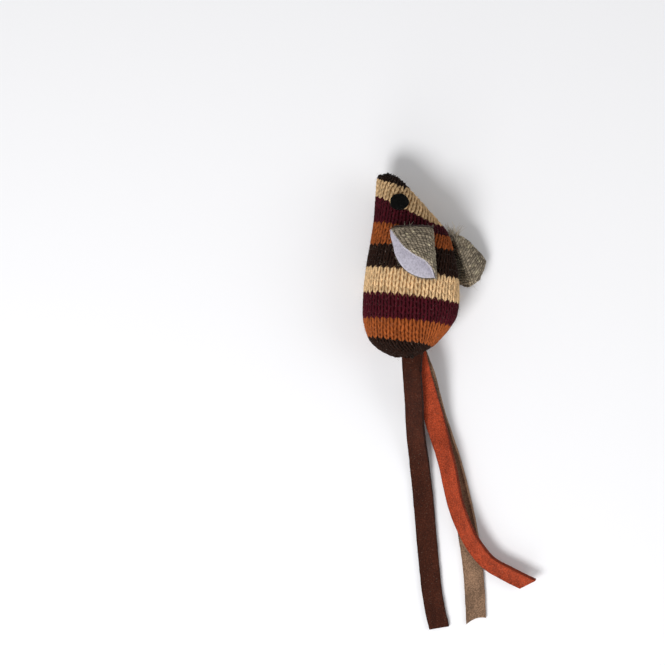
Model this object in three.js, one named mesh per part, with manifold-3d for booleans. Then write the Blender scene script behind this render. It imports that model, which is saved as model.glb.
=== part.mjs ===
// A catnip mouse: a stuffed knit mouse with folded cloth ears, felt eyes and three flat tails.
// It lies on its right side. Millimetres, +Z up, nose towards +Y, back towards +X.
import * as THREE from "three";
import { mergeVertices } from "three/addons/utils/BufferGeometryUtils.js";
import Module from "manifold-3d";

const wasm = await Module();
wasm.setup();

// Body
const bodyLength = 62; // nose to rump
const bodyDepth = 32; // belly to back
const bodyWidth = 28; // side to side
const floorCut = 0.5; // depth of the flat where the side rests
const knitThickness = 1.4;
const clearance = 0.3; // between pieces that touch

// Filling
const noseFillLength = 23; // fibre in the nose
const catnipLength = 17; // dried leaf behind it

// Sewing thread
const threadDiameter = 0.6;

// Eyes
const eyeDiameter = 6;
const eyeThickness = 1;
const eyeSlopeShare = 0.45; // how much thinner the felt is at its edge
const eyeSlopePower = 4;

// Ears
const earBase = 14.4; // sewn edge
const earFold = 17; // folded edge
const clothThickness = 0.7;
const liningThickness = 0.6;
const liningOverhang = 1.2; // lining past the cloth at the open rim
const earEdge = 1.2; // height of the pressed edge
const leftEarBow = 6.5; // how far the outer layer bows out
const rightEarBow = 8.4;
const rightEarStand = 12; // degrees that the right ear stands off the body
const leftEarTurn = -5; // degrees that the left ear's base is turned from the knit's rows

// Tails
const tailReach = 92; // from the stitch to the longest tail's end
const tailWidth = 7;
const tailThickness = 1.3;
const tailDrop = 30; // distance in which a tail comes down to the floor
const tailFlat = 6; // level stretch at the stitch
const brownLeaves = 25; // where the brown tail starts to come off the orange one
const brownLands = 46; // where it lies on the floor
const swingLeft = 30; // degrees that the rump's opening slopes to the belly side
const swingRight = 35; // and to the back side

// Counts
const stations = 30;
const around = 28;
const tailSteps = 30;
const rootSteps = 5;
const threadSides = 3; // in each half
const threadSteps = 30;
const seamPoints = 12;
const earRings = 6;
const earSteps = 7;
const eyeRings = 3;
const eyeSides = 20;

// Places on the body as shares: station from nose to rump, angle in half turns from the belly
const eyeSeatShares = [0.272, 0.45];
const leftEarSeatShares = [0.382, 0.51];
const rightEarSeatShares = [0.395, 1.17];
const stitchSeatShares = [0.531, 0.072]; // across from the belly line, along from the rump's end
const endShare = 0.034; // how much of the body's stations a millimetre of depth takes at each end
const seamStartShare = 0.13; // where both seams' threads start
const bellySeamEndShare = 0.87;
const backSeamEndShare = 0.82;
const slopeShare = 0.01; // step of station or angle over which a slope is taken
const rootStartShare = 0.08; // how far round a tail's round end its first ring lies

// Each rib: belly point, back point and half width, from the nose to the rump.
// Across is measured from the belly line, along from the rump's end.
const ribShares = [
  { belly: [0.18, 0.987], back: [0.253, 0.997], width: 0.1 },
  { belly: [0.147, 0.976], back: [0.371, 0.973], width: 0.29 },
  { belly: [0.134, 0.957], back: [0.485, 0.918], width: 0.42 },
  { belly: [0.126, 0.907], back: [0.649, 0.822], width: 0.57 },
  { belly: [0.12, 0.856], back: [0.804, 0.731], width: 0.7 },
  { belly: [0.103, 0.734], back: [0.892, 0.662], width: 0.84 },
  { belly: [0.065, 0.609], back: [0.938, 0.577], width: 0.93 },
  { belly: [0.024, 0.481], back: [0.985, 0.449], width: 0.99 },
  { belly: [0, 0.359], back: [0.995, 0.316], width: 1 },
  { belly: [-0.003, 0.226], back: [0.948, 0.194], width: 0.96 },
  { belly: [0.052, 0.118], back: [0.83, 0.096], width: 0.84 },
  { belly: [0.147, 0.062], back: [0.711, 0.051], width: 0.68 },
  { belly: [0.258, 0.029], back: [0.598, 0.019], width: 0.48 },
  { belly: [0.361, 0.008], back: [0.505, 0.003], width: 0.22 },
];
const roundness = 2.3; // exponent of a rib's oval: 2 is an ellipse
const ribAxes = ["belly", "back"].map(
  (side) =>
    new THREE.CatmullRomCurve3(
      ribShares.map((rib) => new THREE.Vector3(rib[side][0], rib[side][1], rib.width)),
    ),
);

// Tail routes from the stitch: across to the back, then away from the rump, as shares of tailReach
const brownRouteShares = [
  [0, 0], [-0.009, 0.047], [0.002, 0.2], [0.007, 0.298],
  [0.032, 0.524], [0.05, 0.728], [0.069, 0.907], [0.09, 1.008],
];
const orangeRouteShares = [
  [0, 0], [0.013, 0.06], [0.029, 0.118], [0.054, 0.201], [0.084, 0.301], [0.118, 0.434],
  [0.148, 0.574], [0.193, 0.685], [0.262, 0.779], [0.343, 0.827], [0.43, 0.869],
];
const tanRouteShares = [
  [0, 0], [0.022, 0.06], [0.043, 0.118], [0.079, 0.247], [0.136, 0.42],
  [0.176, 0.577], [0.197, 0.678], [0.213, 0.789], [0.222, 0.9], [0.227, 1.004],
];

const middle = bodyWidth / 2 - floorCut; // height of the plane that halves the mouse
const stitch = new THREE.Vector2(
  bodyDepth * stitchSeatShares[0],
  bodyLength * stitchSeatShares[1],
);
const weld = threadDiameter / 1000; // points nearer than this are one
const mouse = new THREE.Group();

// Materials
const finish = (color, roughness) =>
  new THREE.MeshStandardMaterial({ color, roughness, metalness: 0 });
const knitFinish = finish(0x9a5527, 0.95);
const fillFinish = finish(0xe8e4da, 1);
const leafFinish = finish(0x6d7440, 1);
const seamFinish = finish(0x3a2a24, 0.8);
const clothFinish = finish(0x8b8672, 0.95);
const liningFinish = finish(0xcfcfe0, 0.9);
const eyeFinish = finish(0x141414, 0.95);
const brownFinish = finish(0x4a2618, 0.9);
const orangeFinish = finish(0xa8431f, 0.9);
const tanFinish = finish(0x82705a, 0.9);

// Closed surface through rings of points, with a fan on each end
function loft(rings) {
  const count = rings[0].length;
  const points = rings.flat();
  const faces = [];
  for (let i = 0; i + 1 < rings.length; i++) {
    for (let j = 0; j < count; j++) {
      const a = i * count + j;
      const b = i * count + ((j + 1) % count);
      faces.push(a, a + count, b, b, a + count, b + count);
    }
  }
  for (const end of [0, rings.length - 1]) {
    const hub = points.length;
    points.push(rings[end].reduce((sum, p) => sum.add(p), new THREE.Vector3()).divideScalar(count));
    for (let j = 0; j < count; j++) {
      const a = end * count + j;
      const b = end * count + ((j + 1) % count);
      faces.push(...(end === 0 ? [hub, a, b] : [hub, b, a]));
    }
  }
  return new THREE.BufferGeometry().setFromPoints(points).setIndex(faces);
}

// A closed geometry as a solid that can be joined and cut
function solid(geometry) {
  const bare = geometry.clone();
  bare.deleteAttribute("normal");
  bare.deleteAttribute("uv");
  const merged = mergeVertices(bare, weld);
  return new wasm.Manifold(
    new wasm.Mesh({
      numProp: 3,
      vertProperties: merged.attributes.position.array,
      triVerts: new Uint32Array(merged.index.array),
    }),
  );
}

function geometryOf(made) {
  const mesh = made.getMesh();
  const geometry = new THREE.BufferGeometry();
  geometry.setAttribute("position", new THREE.BufferAttribute(mesh.vertProperties, 3));
  geometry.setIndex(new THREE.BufferAttribute(mesh.triVerts, 1));
  geometry.computeVertexNormals();
  return geometry;
}

function addPiece(name, made, material) {
  const part = new THREE.Mesh(geometryOf(made), material);
  part.name = name;
  mouse.add(part);
}

// A block between two corners
function block(low, high) {
  const size = high.clone().sub(low);
  const centre = low.clone().add(high).divideScalar(2);
  return solid(new THREE.BoxGeometry(...size).translate(...centre));
}

// A round thread along points
function thread(points, radius) {
  const section = new THREE.Shape();
  section.absarc(0, 0, radius, 0, 2 * Math.PI, false);
  return solid(
    new THREE.ExtrudeGeometry(section, {
      steps: threadSteps,
      curveSegments: threadSides,
      extrudePath: new THREE.CatmullRomCurve3(points),
    }),
  );
}

// A point of the knit's outer face. Station runs from the nose, 0, to the rump, 1.
// Angle runs from the belly, 0, over the left side to the back, PI, and on round the right side.
function skin(station, angle) {
  const share = THREE.MathUtils.clamp(station, 0, 1);
  const [belly, back] = ribAxes.map((axis) => axis.getPoint(share));
  const reach = (value) => Math.sign(value) * Math.abs(value) ** (2 / roundness);
  const across = (1 - reach(Math.cos(angle))) / 2;
  return new THREE.Vector3(
    THREE.MathUtils.lerp(belly.x, back.x, across) * bodyDepth,
    THREE.MathUtils.lerp(belly.y, back.y, across) * bodyLength,
    middle + (reach(Math.sin(angle)) * belly.z * bodyWidth) / 2,
  );
}

// The way out of the knit at a point of its face
function skinNormal(station, angle) {
  const step = slopeShare;
  const along = skin(station + step, angle).sub(skin(station - step, angle));
  const round = skin(station, angle + step).sub(skin(station, angle - step));
  return along.cross(round).normalize();
}

// A point a given depth under the knit's face
const under = (station, angle, depth) =>
  skin(station, angle).addScaledVector(skinNormal(station, angle), -depth);

// The body's shape a given depth under the knit's face, or over it where depth is negative
function bodyShape(depth) {
  const end = Math.max(0, depth) * endShare;
  const rings = [];
  for (let i = 0; i <= stations; i++) {
    const share = (1 - Math.cos((Math.PI * i) / stations)) / 2;
    const station = THREE.MathUtils.lerp(end, 1 - end, share);
    const ring = [];
    for (let j = 0; j < around; j++) {
      ring.push(under(station, (2 * Math.PI * j) / around, depth));
    }
    rings.push(ring);
  }
  return solid(loft(rings));
}

const far = 2 * tailReach; // past the whole toy
const aboveFloor = block(new THREE.Vector3(-far, -far, 0), new THREE.Vector3(far, far, far));

// Knit cover: a left and a right panel, sewn together along the back and the belly
const coverShape = bodyShape(0);
const coverHollow = bodyShape(knitThickness);
const fillShape = bodyShape(knitThickness + clearance);
const grownBody = bodyShape(-clearance);

// The opening in the rump's seam that the tails come out of
const tailPitch = tailThickness + clearance;
const stackLow = middle - (3 * tailPitch - clearance) / 2;
function tailOpening() {
  const radius = tailWidth / 2 + clearance;
  const shape = new THREE.Shape();
  const right = THREE.MathUtils.degToRad(swingRight);
  const left = THREE.MathUtils.degToRad(swingLeft);
  const reach = bodyDepth / 3;
  shape.absarc(0, 0, radius, right, Math.PI - left, false);
  shape.lineTo(
    -radius * Math.cos(left) - reach * Math.sin(left),
    radius * Math.sin(left) - reach * Math.cos(left),
  );
  shape.lineTo(
    radius * Math.cos(right) + reach * Math.sin(right),
    radius * Math.sin(right) - reach * Math.cos(right),
  );
  const depth = 3 * tailPitch + clearance;
  const cutter = new THREE.ExtrudeGeometry(shape, { depth, bevelEnabled: false });
  return solid(cutter.translate(stitch.x, stitch.y, stackLow - clearance));
}
const rumpOpening = tailOpening();

function addCover() {
  const cover = coverShape.subtract(coverHollow).subtract(rumpOpening).intersect(aboveFloor);
  const upper = block(
    new THREE.Vector3(-far, -far, middle + clearance / 2),
    new THREE.Vector3(far, far, far),
  );
  const lower = block(
    new THREE.Vector3(-far, -far, -far),
    new THREE.Vector3(far, far, middle - clearance / 2),
  );
  addPiece("left_side_panel", cover.intersect(upper), knitFinish);
  addPiece("right_side_panel", cover.intersect(lower), knitFinish);
}

// Sewing thread of the back and belly seams, in the corner behind the knit
const seamDepth = knitThickness + clearance + threadDiameter / 2;
function seamPath(angle) {
  const last = angle === 0 ? bellySeamEndShare : backSeamEndShare;
  const points = [];
  for (let i = 0; i <= seamPoints; i++) {
    const station = THREE.MathUtils.lerp(seamStartShare, last, i / seamPoints);
    points.push(under(station, angle, seamDepth));
  }
  return points;
}

function addFilling() {
  const grooves = [0, Math.PI].map((angle) =>
    thread(seamPath(angle), threadDiameter / 2 + clearance),
  );
  let fill = fillShape.subtract(rumpOpening);
  grooves.forEach((groove) => (fill = fill.subtract(groove)));
  const slice = (name, front, rear, material) => {
    const cut = block(new THREE.Vector3(-far, rear, -far), new THREE.Vector3(far, front, far));
    addPiece(name, fill.intersect(cut), material);
  };
  const noseEnd = bodyLength - noseFillLength;
  const leafEnd = noseEnd - clearance - catnipLength;
  slice("nose_filling", far, noseEnd, fillFinish);
  slice("catnip_filling", noseEnd - clearance, leafEnd, leafFinish);
  slice("rump_filling", leafEnd - clearance, -far, fillFinish);
  addPiece("belly_seam_thread", thread(seamPath(0), threadDiameter / 2), seamFinish);
  addPiece("back_seam_thread", thread(seamPath(Math.PI), threadDiameter / 2), seamFinish);
}

// Where something is sewn or glued on: a place on the knit, with the ways across, down and out.
// Stand tilts it off the knit, and turn turns it on the knit, in degrees.
function seat(station, angle, stand = 0, turn = 0) {
  const origin = skin(station, angle);
  const out = skinNormal(station, angle);
  const ahead = skin(station - slopeShare, angle).sub(skin(station + slopeShare, angle));
  const across = out.clone().cross(ahead).normalize();
  across.applyAxisAngle(out, THREE.MathUtils.degToRad(turn));
  const down = out.clone().cross(across).normalize();
  const raised = THREE.MathUtils.degToRad(stand);
  return {
    origin,
    across,
    down: down.clone().multiplyScalar(Math.cos(raised)).addScaledVector(out, Math.sin(raised)),
    out: out.clone().multiplyScalar(Math.cos(raised)).addScaledVector(down, -Math.sin(raised)),
  };
}

const placeOn = (ground, p, q, h) =>
  ground.origin
    .clone()
    .addScaledVector(ground.across, p)
    .addScaledVector(ground.down, q)
    .addScaledVector(ground.out, h);

const target = new THREE.Mesh(
  geometryOf(coverShape),
  new THREE.MeshBasicMaterial({ side: THREE.DoubleSide }),
);
target.updateMatrixWorld(true);

// Height of the knit over a seat at a place p across and q down
function rise(ground, p, q) {
  const from = placeOn(ground, p, q, bodyWidth);
  const ray = new THREE.Raycaster(from, ground.out.clone().negate());
  const hits = ray.intersectObject(target);
  return hits.length ? bodyWidth - hits[0].distance : -bodyWidth / 2;
}

// A pad inside an edge, between a lower and an upper face
function pad(ground, edge, rings, low, high) {
  const centre = edge.reduce((sum, p) => sum.add(p), new THREE.Vector2()).divideScalar(edge.length);
  const layer = (share, height) =>
    edge.map((corner) => {
      const place = centre.clone().lerp(corner, share);
      return placeOn(ground, place.x, place.y, height(place.x, place.y));
    });
  const layers = [];
  for (let i = 1; i <= rings; i++) {
    layers.push(layer(i / rings, low));
  }
  for (let i = rings; i >= 1; i--) {
    layers.push(layer(i / rings, high));
  }
  return solid(loft(layers));
}

function addEyes() {
  const radius = eyeDiameter / 2;
  const edge = Array.from({ length: eyeSides }, (unused, i) => {
    const angle = (-2 * Math.PI * i) / eyeSides;
    return new THREE.Vector2(Math.cos(angle), Math.sin(angle)).multiplyScalar(radius);
  });
  const [station, turn] = eyeSeatShares;
  [["left_eye", turn], ["right_eye", 2 - turn]].forEach(([name, half]) => {
    const ground = seat(station, half * Math.PI);
    const low = (p, q) => rise(ground, p, q) + clearance;
    const high = (p, q) => {
      const slope = eyeSlopeShare * Math.min(1, Math.hypot(p, q) / radius) ** eyeSlopePower;
      return low(p, q) + eyeThickness * (1 - slope);
    };
    const felt = pad(ground, edge, eyeRings, low, high);
    addPiece(name, felt, eyeFinish);
  });
}

// An ear is half a disc folded in two: its base is sewn to the body, its fold lies to the back
// and its round rim is open. The layers from outside in are cloth and lining.
function addEar(side, seatShares, bow, stand, turn) {
  const ground = seat(seatShares[0], seatShares[1] * Math.PI, stand, turn);
  const flat = seat(seatShares[0], seatShares[1] * Math.PI, 0, turn);
  const backwards = side === "left" ? -1 : 1; // sign of the way to the back
  const stack = 2 * (clothThickness + liningThickness) + 3 * clearance;
  const rim = (sweep) => THREE.MathUtils.lerp(earBase, earFold, sweep);
  const low = (p, q) => (stand ? rise(flat, p, 0) : rise(ground, p, q)) + clearance;
  const high = (p, q) => {
    const u = Math.max(0, earBase / 2 - p * backwards);
    const v = Math.max(0, q);
    const sweep = Math.atan2(v, u) / (Math.PI / 2);
    const out = Math.hypot(u, v) / rim(sweep);
    const pressed = Math.min(1, Math.min(u, v) / (stack / 2));
    const edge = THREE.MathUtils.lerp(earEdge, stack, Math.sin((pressed * Math.PI) / 2));
    return low(p, q) + edge + bow * out * Math.sin(Math.PI * sweep);
  };
  // One layer's solid: its edges lie a depth inside the ear's, its rim reaches past the cloth's
  const layer = (depth, past) => {
    const corner = (u, v) => new THREE.Vector2((earBase / 2 - u) * backwards, v);
    const edge = [];
    for (let i = 0; i < earSteps; i++) {
      edge.push(corner(THREE.MathUtils.lerp(depth, rim(0) + past, i / earSteps), depth));
    }
    for (let i = 0; i < earSteps; i++) {
      const reach = rim(i / earSteps) + past;
      const angle = (i * Math.PI) / (2 * earSteps);
      edge.push(
        corner(Math.max(depth, reach * Math.cos(angle)), Math.max(depth, reach * Math.sin(angle))),
      );
    }
    for (let i = 0; i < earSteps; i++) {
      edge.push(corner(depth, THREE.MathUtils.lerp(rim(1) + past, depth, i / earSteps)));
    }
    if (side === "left") {
      edge.reverse();
    }
    const bottom = (p, q) => low(p, q) + depth;
    return pad(ground, edge, earRings, bottom, (p, q) => high(p, q) - depth);
  };
  const radius = threadDiameter / 2;
  const ahead = radius + clearance;
  const points = [];
  for (let i = 0; i <= seamPoints; i++) {
    const p = THREE.MathUtils.lerp(-1, 1, i / seamPoints) * (earBase / 2 - threadDiameter);
    points.push(placeOn(flat, p, -ahead, rise(flat, p, -ahead) + clearance + radius));
  }
  addPiece(side + "_ear_thread", thread(points, radius), seamFinish);
  const seamRoom = thread(points, radius + clearance);
  const shell = (depth, thickness, past) =>
    layer(depth, past)
      .subtract(layer(depth + thickness, past + earBase / 2))
      .subtract(grownBody)
      .subtract(seamRoom)
      .intersect(aboveFloor);
  const inner = clothThickness + clearance;
  const hollow = layer(clothThickness + clearance / 2, earBase / 2);
  const lining = shell(inner, liningThickness, liningOverhang).intersect(hollow);
  addPiece(side + "_ear_cloth", shell(0, clothThickness, 0), clothFinish);
  addPiece(side + "_ear_lining", lining, liningFinish);
}

// A tail lies in one of three layers. Its height depends only on its distance from the stitch,
// so the layers never meet when a tail swings round the stitch.
function addTail(name, shares, layerAt, material) {
  const route = new THREE.SplineCurve(
    shares.map(([across, away]) => new THREE.Vector2(across, -away).multiplyScalar(tailReach)),
  );
  const drop = (distance) =>
    1 - THREE.MathUtils.smoothstep(distance, tailFlat, tailFlat + tailDrop);
  const bottom = (place) => {
    const distance = place.length();
    return stackLow * drop(distance) + tailPitch * layerAt(distance);
  };
  const ring = (centre, side, half) => {
    const edges = [-half, half].map((reach) => centre.clone().addScaledVector(side, reach));
    const corner = (place, lift) =>
      new THREE.Vector3(place.x + stitch.x, place.y + stitch.y, bottom(place) + lift);
    const [left, right] = edges;
    return [
      corner(left, tailThickness),
      corner(centre, tailThickness),
      corner(right, tailThickness),
      corner(right, 0),
      corner(centre, 0),
      corner(left, 0),
    ];
  };
  const half = tailWidth / 2;
  const rings = [];
  const start = route.getTangentAt(0);
  const startSide = new THREE.Vector2(-start.y, start.x);
  for (let i = 0; i < rootSteps; i++) {
    const angle = (Math.PI / 2) * THREE.MathUtils.lerp(rootStartShare, 1, i / rootSteps);
    const centre = start.clone().multiplyScalar(-half * Math.cos(angle));
    rings.push(ring(centre, startSide, half * Math.sin(angle)));
  }
  for (let i = 0; i <= tailSteps; i++) {
    const along = route.getTangentAt(i / tailSteps);
    const side = new THREE.Vector2(-along.y, along.x);
    rings.push(ring(route.getPointAt(i / tailSteps), side, half));
  }
  const hole = new THREE.CylinderGeometry(
    threadDiameter / 2 + clearance,
    threadDiameter / 2 + clearance,
    2 * bodyWidth,
    4 * threadSides,
  );
  const round = solid(hole.rotateX(Math.PI / 2).translate(stitch.x, stitch.y, middle));
  addPiece(name, solid(loft(rings)).subtract(round), material);
}

function addTails() {
  const brownLayer = (distance) =>
    2 * (1 - THREE.MathUtils.smoothstep(distance, brownLeaves, brownLands));
  addTail("brown_tail", brownRouteShares, brownLayer, brownFinish);
  addTail("orange_tail", orangeRouteShares, () => 1, orangeFinish);
  addTail("tan_tail", tanRouteShares, () => 0, tanFinish);
  const length = 3 * tailPitch - clearance;
  const radius = threadDiameter / 2;
  const post = new THREE.CylinderGeometry(radius, radius, length, 4 * threadSides);
  post.rotateX(Math.PI / 2).translate(stitch.x, stitch.y, middle);
  addPiece("tail_stitch", solid(post), seamFinish);
}

addCover();
addFilling();
addEyes();
addEar("left", leftEarSeatShares, leftEarBow, 0, leftEarTurn);
addEar("right", rightEarSeatShares, rightEarBow, rightEarStand, 0);
addTails();

// The origin is under the middle of the whole toy
const bounds = new THREE.Box3().setFromObject(mouse);
const centre = bounds.getCenter(new THREE.Vector3());
mouse.position.set(-centre.x, -centre.y, -bounds.min.z);

export default mouse;
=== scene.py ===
"""A stuffed catnip mouse of striped knit, with folded cloth ears, felt eyes and three flat tails.

It lies on its right side. Sizes are in metres, +Z up, the nose towards +Y and the back towards +X.
"""

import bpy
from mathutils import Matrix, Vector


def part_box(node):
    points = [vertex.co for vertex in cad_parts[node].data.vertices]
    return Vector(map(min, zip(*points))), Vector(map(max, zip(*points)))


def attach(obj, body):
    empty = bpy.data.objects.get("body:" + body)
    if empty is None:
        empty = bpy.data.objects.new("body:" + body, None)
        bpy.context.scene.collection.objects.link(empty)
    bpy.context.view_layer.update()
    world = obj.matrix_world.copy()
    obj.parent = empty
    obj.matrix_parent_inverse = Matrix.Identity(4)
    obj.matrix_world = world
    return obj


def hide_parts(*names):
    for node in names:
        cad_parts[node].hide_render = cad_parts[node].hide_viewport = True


bl_info = {
    "name": "Catnip Mouse",
    "version": (1, 0, 0),
    "blender": (4, 5, 0),
    "location": "3D View > Sidebar > Catnip Mouse",
    "description": "Knits, stuffs and sews a catnip mouse over its packed frame",
    "category": "Add Mesh",
}

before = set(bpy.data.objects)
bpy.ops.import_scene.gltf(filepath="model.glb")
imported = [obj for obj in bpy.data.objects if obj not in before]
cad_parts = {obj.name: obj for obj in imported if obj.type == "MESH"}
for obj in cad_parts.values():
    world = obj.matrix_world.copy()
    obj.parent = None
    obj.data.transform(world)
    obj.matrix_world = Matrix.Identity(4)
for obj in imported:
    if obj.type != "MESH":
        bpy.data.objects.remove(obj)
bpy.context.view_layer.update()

import math
from types import SimpleNamespace as Plan

import bmesh
import bpy
import numpy as np
from bmesh.types import BMEdge, BMFace, BMVert
from bpy.props import FloatProperty, FloatVectorProperty, IntProperty, PointerProperty
from mathutils import Matrix, Vector
from mathutils.bvhtree import BVHTree

MM = 0.001
SIDES = {"left": 1, "right": -1}  # the left side lies on top

# ---------------------------------------------------------------- sizes and colours


def paint(red, green, blue):
    """A colour given as 0 to 255 on screen, as the linear light that a shader takes."""
    tones = [tone / 255 for tone in (red, green, blue)]
    return tuple(t / 12.92 if t <= 0.04045 else ((t + 0.055) / 1.055) ** 2.4 for t in tones)


def length(name, size, words):
    return FloatProperty(name=name, default=size, description=words, unit="LENGTH", precision=5)


def colour(name, tones, words):
    return FloatVectorProperty(
        name=name, default=paint(*tones), description=words, subtype="COLOR", size=3, min=0, max=1
    )


class KnitSettings(bpy.types.PropertyGroup):
    """The knit cover"""

    yarn: length("Yarn thickness", 0.83 * MM, "Thickness of the knitting yarn")
    wale: length("Wale pitch", 2.5 * MM, "Distance from one column of stitches to the next")
    relief: length("Relief", 1.9 * MM, "How far a stitch's legs stand before its ends")
    swell: length("Swell", 1.1 * MM, "How far the filling may push the cover out")
    fuzz: IntProperty(
        name="Fuzz", default=4200, min=0, description="Loose fibres on each side of the mouse"
    )
    cream: colour("Cream", (226, 190, 143), "Colour of the cream stripes")
    burgundy: colour("Burgundy", (72, 17, 27), "Colour of the burgundy stripes")
    rust: colour("Rust", (160, 84, 40), "Colour of the rust stripes")
    dark: colour("Dark brown", (40, 23, 16), "Colour of the dark brown stripes")


class EarSettings(bpy.types.PropertyGroup):
    """The two ears"""

    base: length("Base", 14.4 * MM, "Length of the sewn edge")
    fold: length("Fold", 17 * MM, "Length of the folded edge")
    cloth: length("Cloth thickness", 0.7 * MM, "Thickness of the outer cloth")
    lining: length("Lining thickness", 0.6 * MM, "Thickness of the fleece inside")
    thread: length("Thread pitch", 0.92 * MM, "Distance between two threads of the outer cloth")
    olive: colour("Grey olive", (160, 147, 127), "Colour of the outer cloth")
    slub: colour("Slub", (196, 184, 156), "Colour of the thick places in the outer cloth")
    fleece: colour("Fleece", (196, 192, 204), "Colour of the lining")


class EyeSettings(bpy.types.PropertyGroup):
    """The two eyes"""

    across: length("Diameter", 6 * MM, "Diameter of the felt disc")
    thick: length("Thickness", 1 * MM, "Thickness of the felt")
    felt: colour("Felt", (9, 9, 8), "Colour of the felt")


class TailSettings(bpy.types.PropertyGroup):
    """The three tails"""

    width: length("Width", 6.7 * MM, "Width of a strip")
    thick: length("Thickness", 1.3 * MM, "Thickness of a strip")
    brown: colour("Brown", (60, 28, 17), "Colour of the brown strip")
    orange: colour("Orange", (152, 60, 34), "Colour of the orange strip")
    tan: colour("Tan", (127, 100, 79), "Colour of the tan strip")


class StageSettings(bpy.types.PropertyGroup):
    """The floor, the lights and the camera"""

    focal: FloatProperty(name="Focal length", default=200, description="Camera lens in mm")
    view: length("View width", 219.4 * MM, "Width of the picture at half the mouse's height")
    floor: colour("Floor", (247, 247, 249), "Colour of the floor")
    key: FloatProperty(name="Key light", default=4.2, description="Power of the main light in W")
    fill: FloatProperty(name="Fill light", default=0.36, description="Strength of the light around")


SETTINGS = {
    "knit": KnitSettings, "ear": EarSettings, "eye": EyeSettings, "tail": TailSettings,
    "stage": StageSettings,
}

# ---------------------------------------------------------------- finishes

# What a strip's colour is multiplied by near its long edges, as painted shade, on its face and on a
# cut edge painted dark
FACE_EDGE_SHADE = (0.7, 0.66, 0.65)
CUT_EDGE_SHADE = (0.45, 0.42, 0.42)


class Value:
    """A shader socket that sums are written with."""

    def __init__(self, finish, socket):
        self.finish = finish
        self.socket = socket

    def sum(self, operation, first, second):
        return self.finish.node("ShaderNodeMath", {"operation": operation}, {0: first, 1: second})

    def __add__(self, other):
        return self.sum("ADD", self, other)

    def __sub__(self, other):
        return self.sum("SUBTRACT", self, other)

    def __rsub__(self, other):
        return self.sum("SUBTRACT", other, self)

    def __mul__(self, other):
        return self.sum("MULTIPLY", self, other)

    def __gt__(self, other):
        return self.sum("GREATER_THAN", self, other)

    __radd__ = __add__
    __rmul__ = __mul__


class Finish:
    """A material whose nodes are made from Python values and sums."""

    def __init__(self, name, **constants):
        self.material = bpy.data.materials.new(name)
        self.material.use_nodes = True
        self.tree = self.material.node_tree
        self.shader = self.tree.nodes["Principled BSDF"]
        self.wear(**constants)

    def node(self, kind, settings=None, values=None, output=0):
        made = self.tree.nodes.new(kind)
        for name, setting in (settings or {}).items():
            if name == "stops":
                self.set_stops(made.color_ramp, setting)
            else:
                setattr(made, name, setting)
        for socket, value in (values or {}).items():
            self.feed(made.inputs[socket], value)
        return Value(self, made.outputs[output])

    def feed(self, socket, value):
        if isinstance(value, Value):
            self.tree.links.new(value.socket, socket)
        else:
            socket.default_value = value

    @staticmethod
    def set_stops(ramp, stops):
        while len(ramp.elements) < len(stops):
            ramp.elements.new(1)
        for element, (place, tone) in zip(ramp.elements, stops):
            element.position = place
            element.color = (*tone, 1) if hasattr(tone, "__len__") else (tone, tone, tone, 1)

    def place(self):
        """Object coordinates."""
        return self.node("ShaderNodeTexCoord", output="Object")

    def attribute(self, name, output="Fac"):
        return self.node("ShaderNodeAttribute", {"attribute_name": name}, output=output)

    def noise(self, vector, scale, detail, roughness=0.5):
        values = {"Vector": vector, "Scale": scale, "Detail": detail, "Roughness": roughness}
        return self.node("ShaderNodeTexNoise", None, values, "Fac")

    def ramp(self, value, *stops):
        return self.node("ShaderNodeValToRGB", {"stops": stops}, {"Fac": value}, "Color")

    def mix(self, factor, first, second, blend="MIX"):
        first, second = (
            tone if isinstance(tone, Value) else (*tone, 1) for tone in (first, second)
        )
        settings = {"data_type": "RGBA", "blend_type": blend}
        return self.node("ShaderNodeMix", settings, {0: factor, 6: first, 7: second}, 2)

    def times(self, first, second, factor=1.0):
        return self.mix(factor, first, second, "MULTIPLY")

    def stretch(self, vector, scale):
        return self.node("ShaderNodeMapping", None, {"Vector": vector, "Scale": scale}, "Vector")

    def bump(self, height, distance, strength, **normal):
        values = {"Height": height, "Distance": distance, "Strength": strength, **normal}
        return self.node("ShaderNodeBump", None, values, "Normal")

    def wear(self, **inputs):
        for socket, value in inputs.items():
            self.feed(self.shader.inputs[socket.replace("_", " ")], value)
        return self.material


def darker(tone, share):
    return tuple(part * share for part in tone)


def yarn_finish():
    """Plied yarn whose colour comes from the stripe that its stitch is in, darkened as painted
    shade where it dives below the knit's face.
    """
    look = Finish("striped_yarn", Sheen_Weight=0.01, Specular_IOR_Level=0.08)
    place = look.place()
    stripe = look.attribute("stripe", "Color")
    deep = look.attribute("deep")
    ply = look.attribute("ply")
    mottle = look.noise(place, 900, 4, 0.65)
    fibre = look.noise(look.stretch(place, (1, 0.35, 1)), 5200, 3, 0.7)
    shade = look.ramp(
        mottle * 0.5 + fibre * 0.4 + ply * 0.04 + 0.05, (0.38, 0.6), (0.5, 0.95), (0.64, 1.28)
    )
    # painted shade: yarn that dives below the knit's face is darkened, as the hollows between the
    # stitches are
    sunk = look.times(look.times(stripe, shade), (0.6, 0.47, 0.38), deep)
    specks = look.noise(place, 1500, 1) > 0.745
    coat = look.mix(specks * 0.22, sunk, (0.5, 0.44, 0.38))
    ups = look.bump(fibre * 0.5 + ply * 0.5, 0.00016, 0.8)
    return look.wear(Base_Color=coat, Roughness=mottle * 0.2 + 0.75, Normal=ups)


def shade_sheet_finish():
    """Painted shade for the yarn that shows between the stitches: the stripe's colour darkened and
    warmed.
    """
    look = Finish("knit_back", Specular_IOR_Level=0.05)
    stripe = look.attribute("stripe", "Color")
    grain = look.noise(look.place(), 1600, 3, 0.6)
    # painted shade: the stripe's colour is darkened, and warmed for light that bounces between the
    # stitches
    shade = look.ramp(grain, (0.35, 0.45), (0.65, 0.75))
    warm = look.times(look.times(stripe, shade), (1.0, 0.84, 0.7))
    return look.wear(Base_Color=warm, Roughness=0.95, Normal=look.bump(grain, 0.0003, 0.7))


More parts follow.
